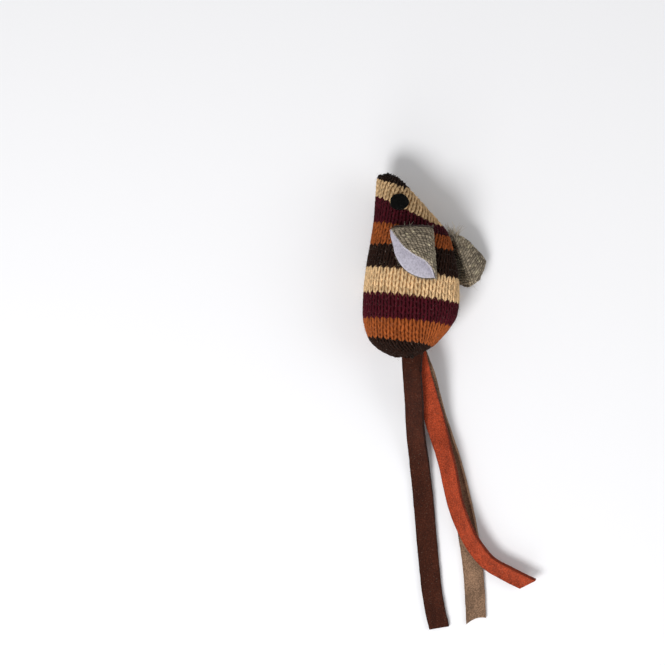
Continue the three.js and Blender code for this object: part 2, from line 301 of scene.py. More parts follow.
def fibre_finish(name, lift, gloss=0.1):
    """Loose fibres, paler than the yarn or cloth that they come from."""
    look = Finish(name, Sheen_Weight=gloss, Specular_IOR_Level=0.3)
    stripe = look.attribute("stripe", "Color")
    grain = look.noise(look.place(), 1200, 2)
    coat = look.mix(grain * lift, stripe, (0.6, 0.55, 0.48))
    return look.wear(Base_Color=coat, Roughness=grain * 0.2 + 0.6)


def ear_cloth_finish():
    """Coarse threads whose colours come from the weave, darkened where they lie low between each
    other as painted shade.
    """
    look = Finish("slub_cloth", Sheen_Weight=0.04, Specular_IOR_Level=0.12)
    place = look.place()
    thread = look.attribute("thread", "Color")
    low = look.attribute("low")
    grain = look.noise(place, 3800, 3, 0.7)
    wide = look.noise(place, 320, 2)
    shade = look.ramp(grain * 0.7 + wide * 0.3, (0.36, 0.58), (0.5, 1.0), (0.66, 1.5))
    # painted shade: the cloth is darkened where its threads lie low
    sunk = look.times(look.times(thread, shade), (0.26, 0.23, 0.19), low)
    threads = look.bump(low * -1.0, 0.0006, 1.0)
    ups = look.bump(grain, 0.00012, 0.8, Normal=threads)
    return look.wear(Base_Color=sunk, Roughness=0.92, Normal=ups)


def fleece_finish(ear):
    """Smooth brushed fleece with a soft, slightly uneven nap."""
    look = Finish("brushed_fleece", Sheen_Weight=0.1, Specular_IOR_Level=0.1)
    place = look.place()
    nap = look.noise(look.stretch(place, (1, 0.5, 1)), 2600, 4, 0.7)
    wide = look.noise(place, 260, 2)
    tone = look.mix(wide * 0.6, tuple(ear.fleece), darker(ear.fleece, 0.86))
    tufts = look.noise(place, 1500, 3, 0.6)
    shade = look.ramp(nap * 0.5 + tufts * 0.5, (0.38, 0.72), (0.52, 1.0), (0.66, 1.12))
    ups = look.bump(nap + wide * 0.8, 0.00025, 0.6)
    return look.wear(Base_Color=look.times(tone, shade), Roughness=0.9, Normal=ups)


def felt_finish(eye):
    """Black felt of tangled fibres."""
    look = Finish("eye_felt", Specular_IOR_Level=0.08)
    place = look.place()
    tangle = look.noise(place, 1700, 5, 0.75)
    fine = look.noise(place, 6000, 3, 0.7)
    coat = look.ramp(
        tangle * 0.6 + fine * 0.4,
        (0.38, darker(eye.felt, 0.4)), (0.5, tuple(eye.felt)), (0.62, darker(eye.felt, 4.5)),
    )
    return look.wear(
        Base_Color=coat, Roughness=0.93, Normal=look.bump(tangle + fine * 0.5, 0.0003, 0.9)
    )


def suede_finish(name, tone, edge_shade):
    """A strip's brushed face or cut edge, and how its colour is darkened near its long edges as
    painted shade.
    """
    look = Finish(name, Sheen_Weight=0.04, Specular_IOR_Level=0.12)
    place = look.place()
    nap = look.noise(place, 2700, 3, 0.7)
    brushed = look.noise(look.stretch(place, (1, 0.25, 1)), 420, 3, 0.6)
    wide = look.noise(place, 130, 2)
    edge = look.attribute("edge")
    shade = look.ramp(
        nap * 0.65 + brushed * 0.2 + wide * 0.15, (0.41, 0.5), (0.5, 0.97), (0.6, 1.65)
    )
    # painted shade: the colour is darkened towards the strip's long edges and over its cut faces
    coat = look.times(look.times(tone, shade), edge_shade, edge * 0.5)
    specks = (look.noise(place, 3300, 1) > 0.72) * 0.2
    dusty = look.mix(specks, coat, (0.62, 0.5, 0.38))
    ups = look.bump(nap + brushed * 0.7, 0.00022, 0.8)
    return look.wear(Base_Color=dusty, Roughness=brushed * 0.15 + 0.82, Normal=ups)


def thread_finish():
    """Twisted dark sewing thread."""
    look = Finish("sewing_thread", Specular_IOR_Level=0.4, Sheen_Weight=0.1)
    twist = look.noise(look.stretch(look.place(), (1, 1, 3)), 2400, 2)
    coat = look.ramp(twist, (0.3, paint(44, 32, 28)), (0.7, paint(84, 64, 56)))
    return look.wear(Base_Color=coat, Roughness=0.7, Normal=look.bump(twist, 0.0001, 0.6))


def filling_finish(name, low, high, scale):
    """Tufted fibre or crumbled leaf."""
    look = Finish(name, Sheen_Weight=0.2, Specular_IOR_Level=0.15)
    tufts = look.noise(look.place(), scale, 5, 0.7)
    coat = look.ramp(tufts, (0.3, low), (0.7, high))
    return look.wear(Base_Color=coat, Roughness=0.95, Normal=look.bump(tufts, 0.0008, 0.9))


def floor_finish(stage):
    look = Finish("pale_floor", Specular_IOR_Level=0.1)
    grain = look.noise(look.place(), 40, 2)
    coat = look.mix(grain * 0.15, tuple(stage.floor), darker(stage.floor, 0.97))
    return look.wear(Base_Color=coat, Roughness=0.9)


# ---------------------------------------------------------------- mesh helpers

LOWEST = 0.02 * MM  # fibres come no lower, and the floor's face lies as far below 0
ROOT_DEPTH = 0.05 * MM  # how deep loose fibres are rooted


def new_object(name, source, *finishes):
    """A mesh object from a bmesh, which is freed."""
    mesh = bpy.data.meshes.new(name)
    source.to_mesh(mesh)
    source.free()
    piece = bpy.data.objects.new(name, mesh)
    bpy.context.scene.collection.objects.link(piece)
    for finish in finishes:
        mesh.materials.append(finish)
    mesh.shade_smooth()
    return piece


def fetch(layer, key, width=1, kind=np.float32):
    """The numbers that a mesh keeps under a key."""
    flat = np.empty(len(layer) * width, kind)
    layer.foreach_get(key, flat)
    return flat.reshape(-1, width) if width > 1 else flat


def places(mesh):
    return fetch(mesh.vertices, "co", 3, float)


def move_to(mesh, spots):
    mesh.vertices.foreach_set("co", np.ascontiguousarray(spots, np.float32).ravel())
    mesh.update()


def outwards(piece):
    """Turns a closed piece's faces outwards."""
    shape = bmesh.new()
    shape.from_mesh(piece.data)
    bmesh.ops.recalc_face_normals(shape, faces=shape.faces)
    shape.to_mesh(piece.data)
    shape.free()
    return piece


def tag(mesh, name, values):
    """Keeps a number or a colour for each vertex."""
    values = np.asarray(values, np.float32)
    kind = "FLOAT" if values.ndim == 1 else "FLOAT_COLOR"
    layer = mesh.attributes.new(name, kind, "POINT")
    if values.ndim == 1:
        layer.data.foreach_set("value", values)
    else:
        full = np.ones((len(values), 4), np.float32)
        full[:, :3] = values
        layer.data.foreach_set("color", full.ravel())


def unit(rows):
    """Rows of numbers made 1 long."""
    return rows / np.maximum(np.linalg.norm(rows, axis=-1, keepdims=True), 1e-12)


def smooth(low, high, value):
    """0 below the low value, 1 above the high one, and a soft step between."""
    share = np.clip((value - low) / (high - low), 0, 1)
    return share * share * (3 - 2 * share)


def ripple(spots, size, seed):
    """A smooth, seeded unevenness from -1 to 1 at points in space, with bumps of about a size."""
    rng = np.random.default_rng(seed)
    total = np.zeros(len(spots))
    for layer in range(3):
        for _ in range(4):
            way = unit(rng.normal(size=3)) * (2 * math.pi / size) * 1.6**layer
            total += np.sin(spots @ way + rng.uniform(0, 2 * math.pi)) / 4 / 1.4**layer
    return total / 1.6


def flat_ripple(x, y, size, seed):
    """The same unevenness at flat points."""
    return ripple(np.c_[x, y, np.zeros(len(x))], size, seed)


def only(made, kind):
    """The vertices, edges or faces among what a mesh operator made."""
    return [item for item in made["geom"] if isinstance(item, kind)]


def adjust(thing, **values):
    """Sets several properties at once."""
    for name, value in values.items():
        setattr(thing, name, value)
    return thing


def thicken(piece, name, thickness):
    """Gives a sheet its thickness, half to each side."""
    wall = piece.modifiers.new(name, "SOLIDIFY")
    return adjust(wall, thickness=thickness, offset=0)


def travelled(line):
    """Distances along a line of points from its start."""
    return np.concatenate([[0], np.cumsum(np.linalg.norm(np.diff(line, axis=0), axis=1))])


def between(net, x, y):
    """Values of a net at places between its points. The places are given in steps of the net."""
    i = np.minimum(x.astype(int), net.shape[0] - 2)
    j = np.minimum(y.astype(int), net.shape[1] - 2)
    wide = (-1,) + (1,) * (net.ndim - 2)
    u, v = (x - i).reshape(wide), (y - j).reshape(wide)
    return (net[i, j] * (1 - u) + net[i + 1, j] * u) * (1 - v) + (
        net[i, j + 1] * (1 - u) + net[i + 1, j + 1] * u
    ) * v


def loose_fibres(name, roots, ways, lengths, radius, tones, finish, seed, curl):
    """Short bent fibres: one three-sided fibre is drawn out of a triangle, repeated and bent."""
    joints = 3
    shape = bmesh.new()
    bmesh.ops.create_circle(shape, segments=3, radius=1, cap_ends=True)
    ends = list(shape.faces)
    for step in range(joints):
        made = bmesh.ops.extrude_face_region(shape, geom=ends)
        corners = only(made, BMVert)
        if step:
            bmesh.ops.delete(shape, geom=ends, context="FACES_ONLY")
        ends = only(made, BMFace)
        bmesh.ops.translate(shape, verts=corners, vec=(0, 0, 1))
    one = bpy.data.meshes.new("fibre")
    shape.to_mesh(one)
    shape.free()
    count = len(one.vertices)
    bunch = bmesh.new()
    for _ in range(len(roots)):
        bunch.from_mesh(one)
    bpy.data.meshes.remove(one)
    piece = new_object(name, bunch, finish)
    local = places(piece.data)
    which = np.arange(len(local)) // count
    rng = np.random.default_rng(seed)
    ways = unit(ways)
    side = unit(np.cross(ways, unit(rng.normal(size=ways.shape))))
    other = np.cross(ways, side)
    bend = rng.uniform(0.3, 1, len(roots)) * curl
    along = local[:, 2] / joints
    thick = np.broadcast_to(radius, len(roots))[which] * (1 - 0.7 * along)
    spots = (
        roots[which]
        + ways[which] * (along * lengths[which])[:, None]
        + side[which] * (local[:, 0] * thick)[:, None]
        + side[which] * (along**2 * (lengths * bend)[which])[:, None]
        + other[which] * (local[:, 1] * thick)[:, None]
    )
    spots[:, 2] = np.maximum(spots[:, 2], LOWEST)
    move_to(piece.data, spots)
    tag(piece.data, "stripe", tones[which])
    return outwards(piece)


# ---------------------------------------------------------------- the body's form

BODY = (32 * MM, 62 * MM, 28 * MM)  # belly to back, rump to nose, side to side
MIDDLE = 13.5 * MM  # height of the plane that halves the mouse
STITCH_AT = (0.531 * BODY[0], 0.072 * BODY[1])  # the tails' stitch, from the belly and the rump
ROUNDNESS = 2.3

# Each rib from nose to rump: belly point and back point as shares of the body's depth and length,
# and half its width as a share of the body's.
RIBS = (
    (0.18, 0.987, 0.253, 0.997, 0.1),
    (0.147, 0.976, 0.371, 0.973, 0.29),
    (0.134, 0.957, 0.485, 0.918, 0.42),
    (0.126, 0.907, 0.649, 0.822, 0.57),
    (0.12, 0.856, 0.804, 0.731, 0.7),
    (0.103, 0.734, 0.892, 0.662, 0.84),
    (0.065, 0.609, 0.938, 0.577, 0.93),
    (0.024, 0.481, 0.985, 0.449, 0.99),
    (0, 0.359, 0.995, 0.316, 1),
    (-0.003, 0.226, 0.948, 0.194, 0.96),
    (0.052, 0.118, 0.83, 0.096, 0.84),
    (0.147, 0.062, 0.711, 0.051, 0.68),
    (0.258, 0.029, 0.598, 0.019, 0.48),
    (0.361, 0.008, 0.505, 0.003, 0.22),
)
LAST_RIB = len(RIBS) - 1

STITCH = sum((Vector(corner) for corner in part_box("tail_stitch")), Vector()) / 2
CORNER = np.array([STITCH.x - STITCH_AT[0], STITCH.y - STITCH_AT[1], 0])

COURSES = 36
# The ribs at which the stripes end at the belly and at the back, and the courses before them
BELLY_RIBS = (0, 1.5, 3.75, 5, 5.93, 6.86, 7.95, 9, 9.9, 13)
BACK_RIBS = (0, 2.0, 4.25, 5.02, 5.9, 7.12, 8.1, 9.1, 10.45, 13)
STRIPE_COURSES = (0, 3, 7, 11, 15, 19, 23, 27, 31, COURSES)
STRIPES = ("dark", "cream", "burgundy", "rust", "dark", "cream", "burgundy", "rust", "dark")


def rib_line(points):
    """The smooth line through points, as four rows of factors for each stretch."""
    points = np.array(points, float)
    padded = np.vstack([2 * points[0] - points[1], points, 2 * points[-1] - points[-2]])
    pieces = []
    for before, start, end, after in zip(padded, padded[1:], padded[2:], padded[3:]):
        gap = [
            max(float(((b - a) ** 2).sum()) ** 0.25, 1e-4)
            for a, b in ((before, start), (start, end), (end, after))
        ]
        leave = (start - before) / gap[0] - (end - before) / (gap[0] + gap[1])
        leave = (leave + (end - start) / gap[1]) * gap[1]
        arrive = (end - start) / gap[1] - (after - start) / (gap[1] + gap[2])
        arrive = (arrive + (after - end) / gap[2]) * gap[1]
        pieces.append(
            (start, leave, 3 * (end - start) - 2 * leave - arrive,
             2 * (start - end) + leave + arrive)
        )
    return np.array(pieces)


BELLY_LINE = rib_line([(rib[0], rib[1], rib[4]) for rib in RIBS])
BACK_LINE = rib_line([(rib[2], rib[3], rib[4]) for rib in RIBS])


def on_line(line, station):
    reach = np.clip(station, 0, 1) * LAST_RIB
    index = np.minimum(reach.astype(int), LAST_RIB - 1)
    share = (reach - index)[:, None]
    factors = line[index]
    return factors[:, 0] + share * (
        factors[:, 1] + share * (factors[:, 2] + share * factors[:, 3])
    )


def skin(station, angle):
    """Points of the cover's outer face. Station runs from the nose, 0, to the rump, 1, and angle
    from the belly, 0, over the left side to the back, pi, and on round the right side."""
    station, angle = np.broadcast_arrays(np.atleast_1d(station), np.atleast_1d(angle))
    belly, back = on_line(BELLY_LINE, station), on_line(BACK_LINE, station)
    power = 2 / ROUNDNESS
    cosine, sine = np.cos(angle), np.sin(angle)
    across = (1 - np.sign(cosine) * np.abs(cosine) ** power) / 2
    high = np.sign(sine) * np.abs(sine) ** power
    spots = np.stack(
        [
            (belly[:, 0] + (back[:, 0] - belly[:, 0]) * across) * BODY[0],
            (belly[:, 1] + (back[:, 1] - belly[:, 1]) * across) * BODY[1],
            MIDDLE + high * belly[:, 2] * BODY[2] / 2,
        ],
        axis=1,
    )
    return spots + CORNER


def slopes(surface, station, angle, step=0.004):
    """The way towards the rump, the way round and the way out at points of a surface."""
    near = np.clip(station, step, 1 - step)
    along = unit(surface(near + step, angle) - surface(near - step, angle))
    round_it = unit(surface(near, angle + step) - surface(near, angle - step))
    return along, round_it, unit(np.cross(along, round_it))


RINGS, SPOKES = 49, 64  # the form's net, from nose to rump and round
STUFFING_FRAMES = 20


def spline_weights(share):
    """Factors of the four points around a share of a stretch, for a smooth line."""
    square, cube = share**2, share**3
    return (
        (-cube + 2 * square - share) / 2,
        (3 * cube - 5 * square + 2) / 2,
        (-3 * cube + 4 * square + share) / 2,
        (cube - square) / 2,
    )


class StuffedForm:
    """The body's outer face after stuffing, as a net of points that any place is read from."""

    def __init__(self, net):
        self.net = net

    def __call__(self, station, angle):
        station, angle = np.broadcast_arrays(np.atleast_1d(station), np.atleast_1d(angle))
        row = np.arccos(1 - 2 * np.clip(station, 0, 1)) / math.pi * (RINGS - 1)
        column = (angle / (2 * math.pi)) % 1 * SPOKES
        first_row = np.minimum(row.astype(int), RINGS - 2)
        first_column = column.astype(int)
        column_weights = spline_weights(column - first_column)
        spots = np.zeros((len(row), 3))
        for i, row_weight in enumerate(spline_weights(row - first_row)):
            r = np.clip(first_row + i - 1, 0, RINGS - 1)
            for j, column_weight in enumerate(column_weights):
                c = (first_column + j - 1) % SPOKES
                spots += self.net[r, c] * (row_weight * column_weight)[:, None]
        return spots


def stuff(swell):
    """Blows the cover's form up between its seams, as filling does, and returns it."""
    shape = bmesh.new()
    bmesh.ops.create_uvsphere(shape, u_segments=SPOKES, v_segments=RINGS + 1, radius=1)
    form = new_object("mouse_form", shape)
    ball = places(form.data)
    ring = np.rint(np.arccos(np.clip(ball[:, 2], -1, 1)) / math.pi * (RINGS + 1)).astype(int)
    spoke = np.rint(np.arctan2(ball[:, 1], ball[:, 0]) / (2 * math.pi) * SPOKES).astype(int)
    spoke %= SPOKES
    station = (1 - np.cos(np.clip(ring - 1, 0, RINGS - 1) * math.pi / (RINGS - 1))) / 2
    angle = spoke * 2 * math.pi / SPOKES
    start = skin(station, angle)
    out = slopes(skin, station, angle)[2]
    ends = (ring == 0) | (ring == RINGS + 1)
    for end, edge in ((0, 1), (RINGS + 1, RINGS)):
        start[ring == end] = start[ring == edge].mean(axis=0)
    seam = np.minimum(np.abs(np.sin(angle / 2)), np.abs(np.cos(angle / 2)))
    shrink = np.where(ends, 0, 0.8 * MM * smooth(0, 0.45, seam))
    start -= out * shrink[:, None]
    move_to(form.data, start)
    final = start + out * (shrink * 0.9)[:, None]
    shift = blow_up(form, (seam < 0.02) | ends | (ring < 3) | (ring > RINGS - 2)) - start
    far = np.linalg.norm(shift, axis=1, keepdims=True)
    final = start + shift * np.minimum(1, swell / np.maximum(far, 1e-9))
    bpy.data.objects.remove(form)
    net = np.zeros((RINGS, SPOKES, 3))
    net[ring[~ends] - 1, spoke[~ends]] = final[~ends]
    return StuffedForm(net)


def blow_up(form, held):
    """Runs a cloth simulation under inside pressure and returns where the points end."""
    pins = form.vertex_groups.new(name="sewn")
    pins.add([int(i) for i in np.flatnonzero(held)], 1.0, "REPLACE")
    cloth = form.modifiers.new("stuffing", "CLOTH")
    adjust(
        cloth.settings, quality=6, mass=0.15, tension_stiffness=15, compression_stiffness=15,
        bending_stiffness=0.5, use_pressure=True, uniform_pressure_force=4,
        vertex_group_mass="sewn",
    )
    cloth.settings.effector_weights.gravity = 0
    adjust(cloth.point_cache, frame_start=1, frame_end=STUFFING_FRAMES)
    scene = bpy.context.scene
    for step in range(1, STUFFING_FRAMES + 1):
        scene.frame_set(step)
    settled = form.evaluated_get(bpy.context.evaluated_depsgraph_get())
    blown = places(settled.to_mesh())
    settled.to_mesh_clear()
    scene.frame_set(1)
    return blown


# ---------------------------------------------------------------- the knit

SEAM_TURN = 1.3 * MM  # stretch of cloth that turns in at a seam
SEAM_ROOM = 0.12 * MM  # from a turned edge's face to the seam's plane
SEAM_DIP = 0.62  # how far a turned edge goes in, as a share of its stretch
STRAIGHT_FROM = 25  # the course from which the wales stay straight to the rump
STACK = (11.25 * MM, 15.75 * MM)  # lowest and highest face of the three tails at their stitch
FLOOR_GAP = 0.35 * MM  # how high pressed cloth lies over the floor
COURSE_PITCH = 1.87 * MM  # from one course of the flat knit to the next
# A side is measured at so many rows for each course, each with so many points from seam to seam,
# and its angles are kept for so long a course at such steps
ROWS_A_COURSE, RING_POINTS = 6, 97
LONGEST_COURSE, REACH_STEP = 60 * MM, 0.25 * MM


class KnitMap:
    """Lays flat knit on one side of the mouse: courses from nose to rump, and metres from the
    belly seam along each course."""

    def __init__(self, form, side):
        self.form = form
        self.side = side
        self.sign = SIDES[side]
        self.shift = 0 if side == "left" else 1  # courses that the stripes lie nearer to the rump
        self.rows = np.linspace(0, COURSES, COURSES * ROWS_A_COURSE + 1)
        turns = np.linspace(0, math.pi, RING_POINTS)
        gone = [
            travelled(form(self.station(np.full(RING_POINTS, row), turns), self.sign * turns))
            for row in self.rows
        ]
        reach = np.arange(0, LONGEST_COURSE, REACH_STEP)
        self.table = np.array([np.interp(reach, far, turns) for far in gone])
        self.lengths = np.array([far[-1] for far in gone])

    @staticmethod
    def station(course, angle):
        belly = np.interp(course, STRIPE_COURSES, BELLY_RIBS)
        back = np.interp(course, STRIPE_COURSES, BACK_RIBS)
        across = (1 - np.cos(angle)) / 2
        bow = 0.4 * across * (1 - across) * (1 - smooth(27, 34, course))
        return (belly + (back - belly) * across - bow) / LAST_RIB

    def length(self, course):
        return np.interp(course, self.rows, self.lengths)

    def drift(self, course):
        """How far the wales run off the belly seam at the rump, where they stay straight."""
        narrower = self.length(STRAIGHT_FROM) - self.length(np.maximum(course, STRAIGHT_FROM))
        return narrower * 0.28

    def angle(self, course, reach):
        row = np.clip(course, 0, COURSES) * ROWS_A_COURSE
        return between(self.table, row, np.clip(reach / REACH_STEP, 0, self.table.shape[1] - 1))

    def lay(self, course, reach, height):
        """Where flat points come to lie. Height is over the cover's outer face."""
        whole = self.length(course)
        from_belly, from_back = reach, whole - reach
        near = np.minimum(from_belly, from_back)
        way = np.where(from_belly < from_back, -1.0, 1.0)
        inset = np.minimum(SEAM_TURN, whole * 0.2)
        angle = self.angle(course, np.clip(reach, inset, whole - inset))
        station = self.station(np.clip(course, 0, COURSES), angle)
        base = self.form(station, self.sign * angle)
        _, round_it, out = slopes(self.form, station, self.sign * angle)
        to_seam = round_it * (way * self.sign)[:, None]
        # beside a seam the cloth turns in, and goes on inwards
        over = np.clip(inset - near, 0, None)
        turn = np.clip(over / inset, 0, 1) * math.pi / 2
        deep = np.clip(over - inset, 0, None)
        sideways = (inset - SEAM_ROOM) * np.sin(turn) + height * np.sin(turn)
        inwards = inset * SEAM_DIP * (1 - np.cos(turn)) + deep - height * np.cos(turn)
        spots = base + to_seam * sideways[:, None] - out * inwards[:, None]
        # before the first course and past the last one the knit is gathered to a hub
        turns = np.arange(SPOKES) * 2 * math.pi / SPOKES
        for end, past in ((0, -course), (1, course - COURSES)):
            beyond = past > 0
            if beyond.any():
                hub = self.form(np.full(SPOKES, end), turns).mean(axis=0)
                pull = np.clip(past[beyond] * 0.55, 0, 0.97)[:, None]
                spots[beyond] += (hub - spots[beyond]) * pull
        # the nose's first courses lie a little forward, and the back before the rump is drawn in
        spots[:, 1] += 0.5 * MM * (1 - smooth(0, 3.5, course))
        flank = smooth(24.5, 30, course) * (1 - smooth(34, 36, course))
        spots[:, 0] -= 1.9 * MM * flank * smooth(0.6, 1, (1 - np.cos(angle)) / 2)
        return self.rest(self.open_rump(spots))

    def open_rump(self, spots):
        """Parts the seam where the tails come out."""
        past = spots[:, 0] - STITCH.x  # to the back side of the stitch
        beside = 1 - smooth(3.5 * MM, 5.1 * MM, np.abs(past - 0.8 * MM))
        behind = 1 - smooth(2.5 * MM, 7.5 * MM, spots[:, 1] - STITCH.y)
        room = (STACK[1] - STACK[0]) / 2 + 0.25 * MM
        if self.side == "left":
            # past the top strip only the one under it is in the way
            room = room * (1 - 0.6 * smooth(3.2 * MM, 4.4 * MM, past))
        reach = 8.5 * MM  # above it the cover stays as it is
        height = (spots[:, 2] - MIDDLE) * self.sign
        part = beside * behind * room
        opened = part + height * (1 - part / reach)
        height = np.where(height < reach, np.maximum(height, opened), height)
        spots[:, 2] = MIDDLE + height * self.sign
        return spots

    @staticmethod
    def rest(spots):
        """Presses what would sink into the floor flat on it."""
        sunk = spots[:, 2] < FLOOR_GAP
        past = np.clip((spots[sunk, 2] - FLOOR_GAP) / FLOOR_GAP, -6, 0)
        spots[sunk, 2] = FLOOR_GAP * np.exp(past * 0.6)
        return spots


def stitch_frame(turn, knit):
    """Place and axes of the yarn at a turn of its loop: 0 and 2 pi are the heads of two stitches.
    Heads point to the nose. Heads and feet dive behind the stitches next to them."""

    def centre(t):
        return Vector((
            knit.wale * (t / (2 * math.pi) + 0.172 * math.sin(2 * t) - 0.012 * math.sin(t)),
            -COURSE_PITCH * 1.12 * math.cos(t),
            -knit.relief * float(smooth(0.64, 0.98, abs(math.cos(t)))),
        ))

    ahead = (centre(turn + 0.01) - centre(turn - 0.01)).normalized()
    side = ahead.cross(Vector((0, 0, 1))).normalized()
    up = side.cross(ahead)
    thin = 1.05 - 0.52 * float(smooth(0.35, 0.85, abs(math.cos(turn))))
    axes = Matrix((side * thin, up * thin, ahead)).transposed().to_4x4()
    return Matrix.Translation(centre(turn)) @ axes


def knit_course(knit, wales):
    """One course of flat knit: a ring of yarn drawn along a loop, then repeated."""
    steps, sides = 16, 6
    shape = bmesh.new()
    frames = [stitch_frame(2 * math.pi * i / steps, knit) for i in range(steps + 1)]
    ply = shape.verts.layers.float.new("ply")
    made = bmesh.ops.create_circle(shape, segments=sides, radius=knit.yarn / 2)
    bmesh.ops.transform(shape, matrix=frames[0], verts=made["verts"])
    ring = list(shape.edges)
    for before, frame_now in zip(frames, frames[1:]):
        made = bmesh.ops.extrude_edge_only(shape, edges=ring)
        ring = only(made, BMEdge)
        move = frame_now @ before.inverted()
        bmesh.ops.transform(shape, matrix=move, verts=only(made, BMVert))
    shape.verts.index_update()
    for vert in shape.verts:
        step, side = divmod(vert.index, sides)
        vert[ply] = math.cos(2 * math.pi * (2 * side / sides + step / 3))
    one = list(shape.verts) + list(shape.edges) + list(shape.faces)
    for k in range(1, wales):
        made = bmesh.ops.duplicate(shape, geom=one)
        bmesh.ops.translate(shape, verts=only(made, BMVert), vec=(k * knit.wale, 0, 0))
    bmesh.ops.remove_doubles(shape, verts=shape.verts, dist=0.02 * MM)
    mesh = bpy.data.meshes.new("course")
    shape.to_mesh(mesh)
    shape.free()
    return mesh


def stripe_tones(knit, course):
    """Colours of courses. The head's yarn is a little darker, as in the photo: painted shade for a
    head that slopes away from the light.
    """
    course = np.clip(course, 0, COURSES - 1)
    index = np.searchsorted(STRIPE_COURSES[1:-1], course, side="right")
    tones = np.array([tuple(getattr(knit, name)) for name in STRIPES])
    # painted shade: the head's courses are darkened
    head = 1 - 0.15 * (1 - smooth(14.5, 15.5, course))
    return tones[index] * head[:, None]


def knit_side(lie, knit, finish):
    """One side of the cover: flat courses of stitches that are cut to length and laid."""
    course_mesh = knit_course(knit, int(lie.lengths.max() / knit.wale) + 4)
    count = len(course_mesh.vertices)
    shape = bmesh.new()
    for _ in range(COURSES):
        shape.from_mesh(course_mesh)
    bpy.data.meshes.remove(course_mesh)
    number = shape.verts.layers.int.new("course_number")
    shape.verts.index_update()
    middles = np.arange(COURSES) + 0.5
    starts, wholes = lie.drift(middles), lie.length(middles)
    spare = []
    for vert in shape.verts:
        row = vert.index // count
        vert[number] = row
        reach = vert.co.x - knit.wale - starts[row]
        if reach < -0.9 * knit.wale or reach > wholes[row] + 0.9 * knit.wale:
            spare.append(vert)
    bmesh.ops.delete(shape, geom=spare, context="VERTS")
    rims = [edge for edge in shape.edges if edge.is_boundary]
    bmesh.ops.holes_fill(shape, edges=rims, sides=0)
    piece = new_object(f"{lie.side}_side_knit", shape, finish)
    mesh = piece.data
    flat = places(mesh)
    rows = fetch(mesh.attributes["course_number"].data, "value", kind=np.int32)
    # courses are shifted in the field that the unevenness is read from, so that no two are alike
    grid = flat + rows[:, None] * 0.011
    loose = ripple(grid, 5 * MM, 5)
    height = flat[:, 2] - knit.yarn / 2
    reach = flat[:, 0] - knit.wale + 0.16 * MM * loose + 0.13 * MM * ripple(grid, 1.9 * MM, 7)
    course = rows + 0.5 + flat[:, 1] / COURSE_PITCH
    course = course + 0.05 * ripple(flat + rows[:, None] * 0.017, 7 * MM, 6)
    course = course + 0.09 * ripple(grid, 2.1 * MM, 8)
    move_to(mesh, lie.lay(course, reach - lie.drift(course), height + 0.06 * MM * loose))
    rng = np.random.default_rng(11 + lie.shift)
    leg = np.floor(flat[:, 0] / knit.wale * 2).astype(int) + 8  # half a stitch, with its own tone
    uneven = rng.normal(1, 0.1, (COURSES, 200))[rows, leg] * rng.normal(1, 0.04, COURSES)[rows]
    tag(mesh, "stripe", stripe_tones(knit, rows - lie.shift) * uneven[:, None])
    # how deep the yarn lies, which the yarn's finish darkens as painted shade
    tag(mesh, "deep", smooth(0.45 * MM, 1.15 * MM, -height))
    mesh.attributes.remove(mesh.attributes["course_number"])
    return outwards(piece)


def knit_back(lie, knit, finish):
    """A sheet behind one side's stitches that turns in at the seams, in its stripe's colour, which
    its finish darkens as painted shade.
    """
    shape = bmesh.new()
    bmesh.ops.create_grid(shape, x_segments=COURSES * 2, y_segments=44, size=1)
    piece = new_object(f"{lie.side}_side_backing", shape, finish)
    flat = places(piece.data)
    course = (flat[:, 0] * 0.5 + 0.5) * (COURSES + 3.4) - 1.7
    share = flat[:, 1] * 0.5 + 0.5
    reach = -1.6 * MM + share * (lie.length(course) + 3.2 * MM)
    depth = -1.02 * MM + 0.1 * MM * ripple(flat, 0.1, 9)
    move_to(piece.data, lie.lay(course, reach, depth))
    whole_course = np.floor(np.clip(course, 0, COURSES - 1))
    tag(piece.data, "stripe", stripe_tones(knit, whole_course - lie.shift))
    thicken(piece, "cloth", 0.5 * MM)
    return piece


def knit_fuzz(cover, lie, knit, finish):
    """Fibres that stand off the yarn."""
    rng = np.random.default_rng(21 + lie.shift)
    mesh = cover.data
    spots = places(mesh)
    normals = fetch(mesh.vertices, "normal", 3, float)
    tones = fetch(mesh.attributes["stripe"].data, "color", 4)[:, :3]
    outer = np.flatnonzero(fetch(mesh.attributes["deep"].data, "value") < 0.05)
    chosen = rng.choice(outer, knit.fuzz, replace=False)
    ways = normals[chosen] + rng.normal(scale=0.75, size=(knit.fuzz, 3))
    lengths = rng.gamma(2.0, 0.3 * MM, knit.fuzz) + 0.3 * MM
    return loose_fibres(
        f"{lie.side}_side_fuzz", spots[chosen] - normals[chosen] * ROOT_DEPTH, ways,
        np.minimum(lengths, 2.4 * MM), 0.014 * MM, tones[chosen], finish, 31, 0.8,
    )


# ---------------------------------------------------------------- seats on the body


class Seat:
    """A place on the cover where something is sewn or glued, with its ways across, down and out.
    Stand tilts it off the cover and turn turns it on the cover, in degrees."""

    def __init__(self, station, angle, stand=0, turn=0):
        station, angle, step = np.array([station]), np.array([angle]), 0.01
        self.origin = Vector(skin(station, angle)[0])
        along = skin(station + step, angle) - skin(station - step, angle)
        round_it = skin(station, angle + step) - skin(station, angle - step)
        out = Vector(unit(np.cross(along, round_it))[0])
        self.across = out.cross(-Vector(along[0])).normalized()
        self.across.rotate(Matrix.Rotation(math.radians(turn), 3, out))
        down = out.cross(self.across).normalized()
        raised = math.radians(stand)
        self.down = down * math.cos(raised) + out * math.sin(raised)
        self.out = out * math.cos(raised) - down * math.sin(raised)

    def points(self, p, q, h):
        axes = np.array([self.across, self.down, self.out])
        return np.array(self.origin) + np.stack([p, q, h], axis=1) @ axes


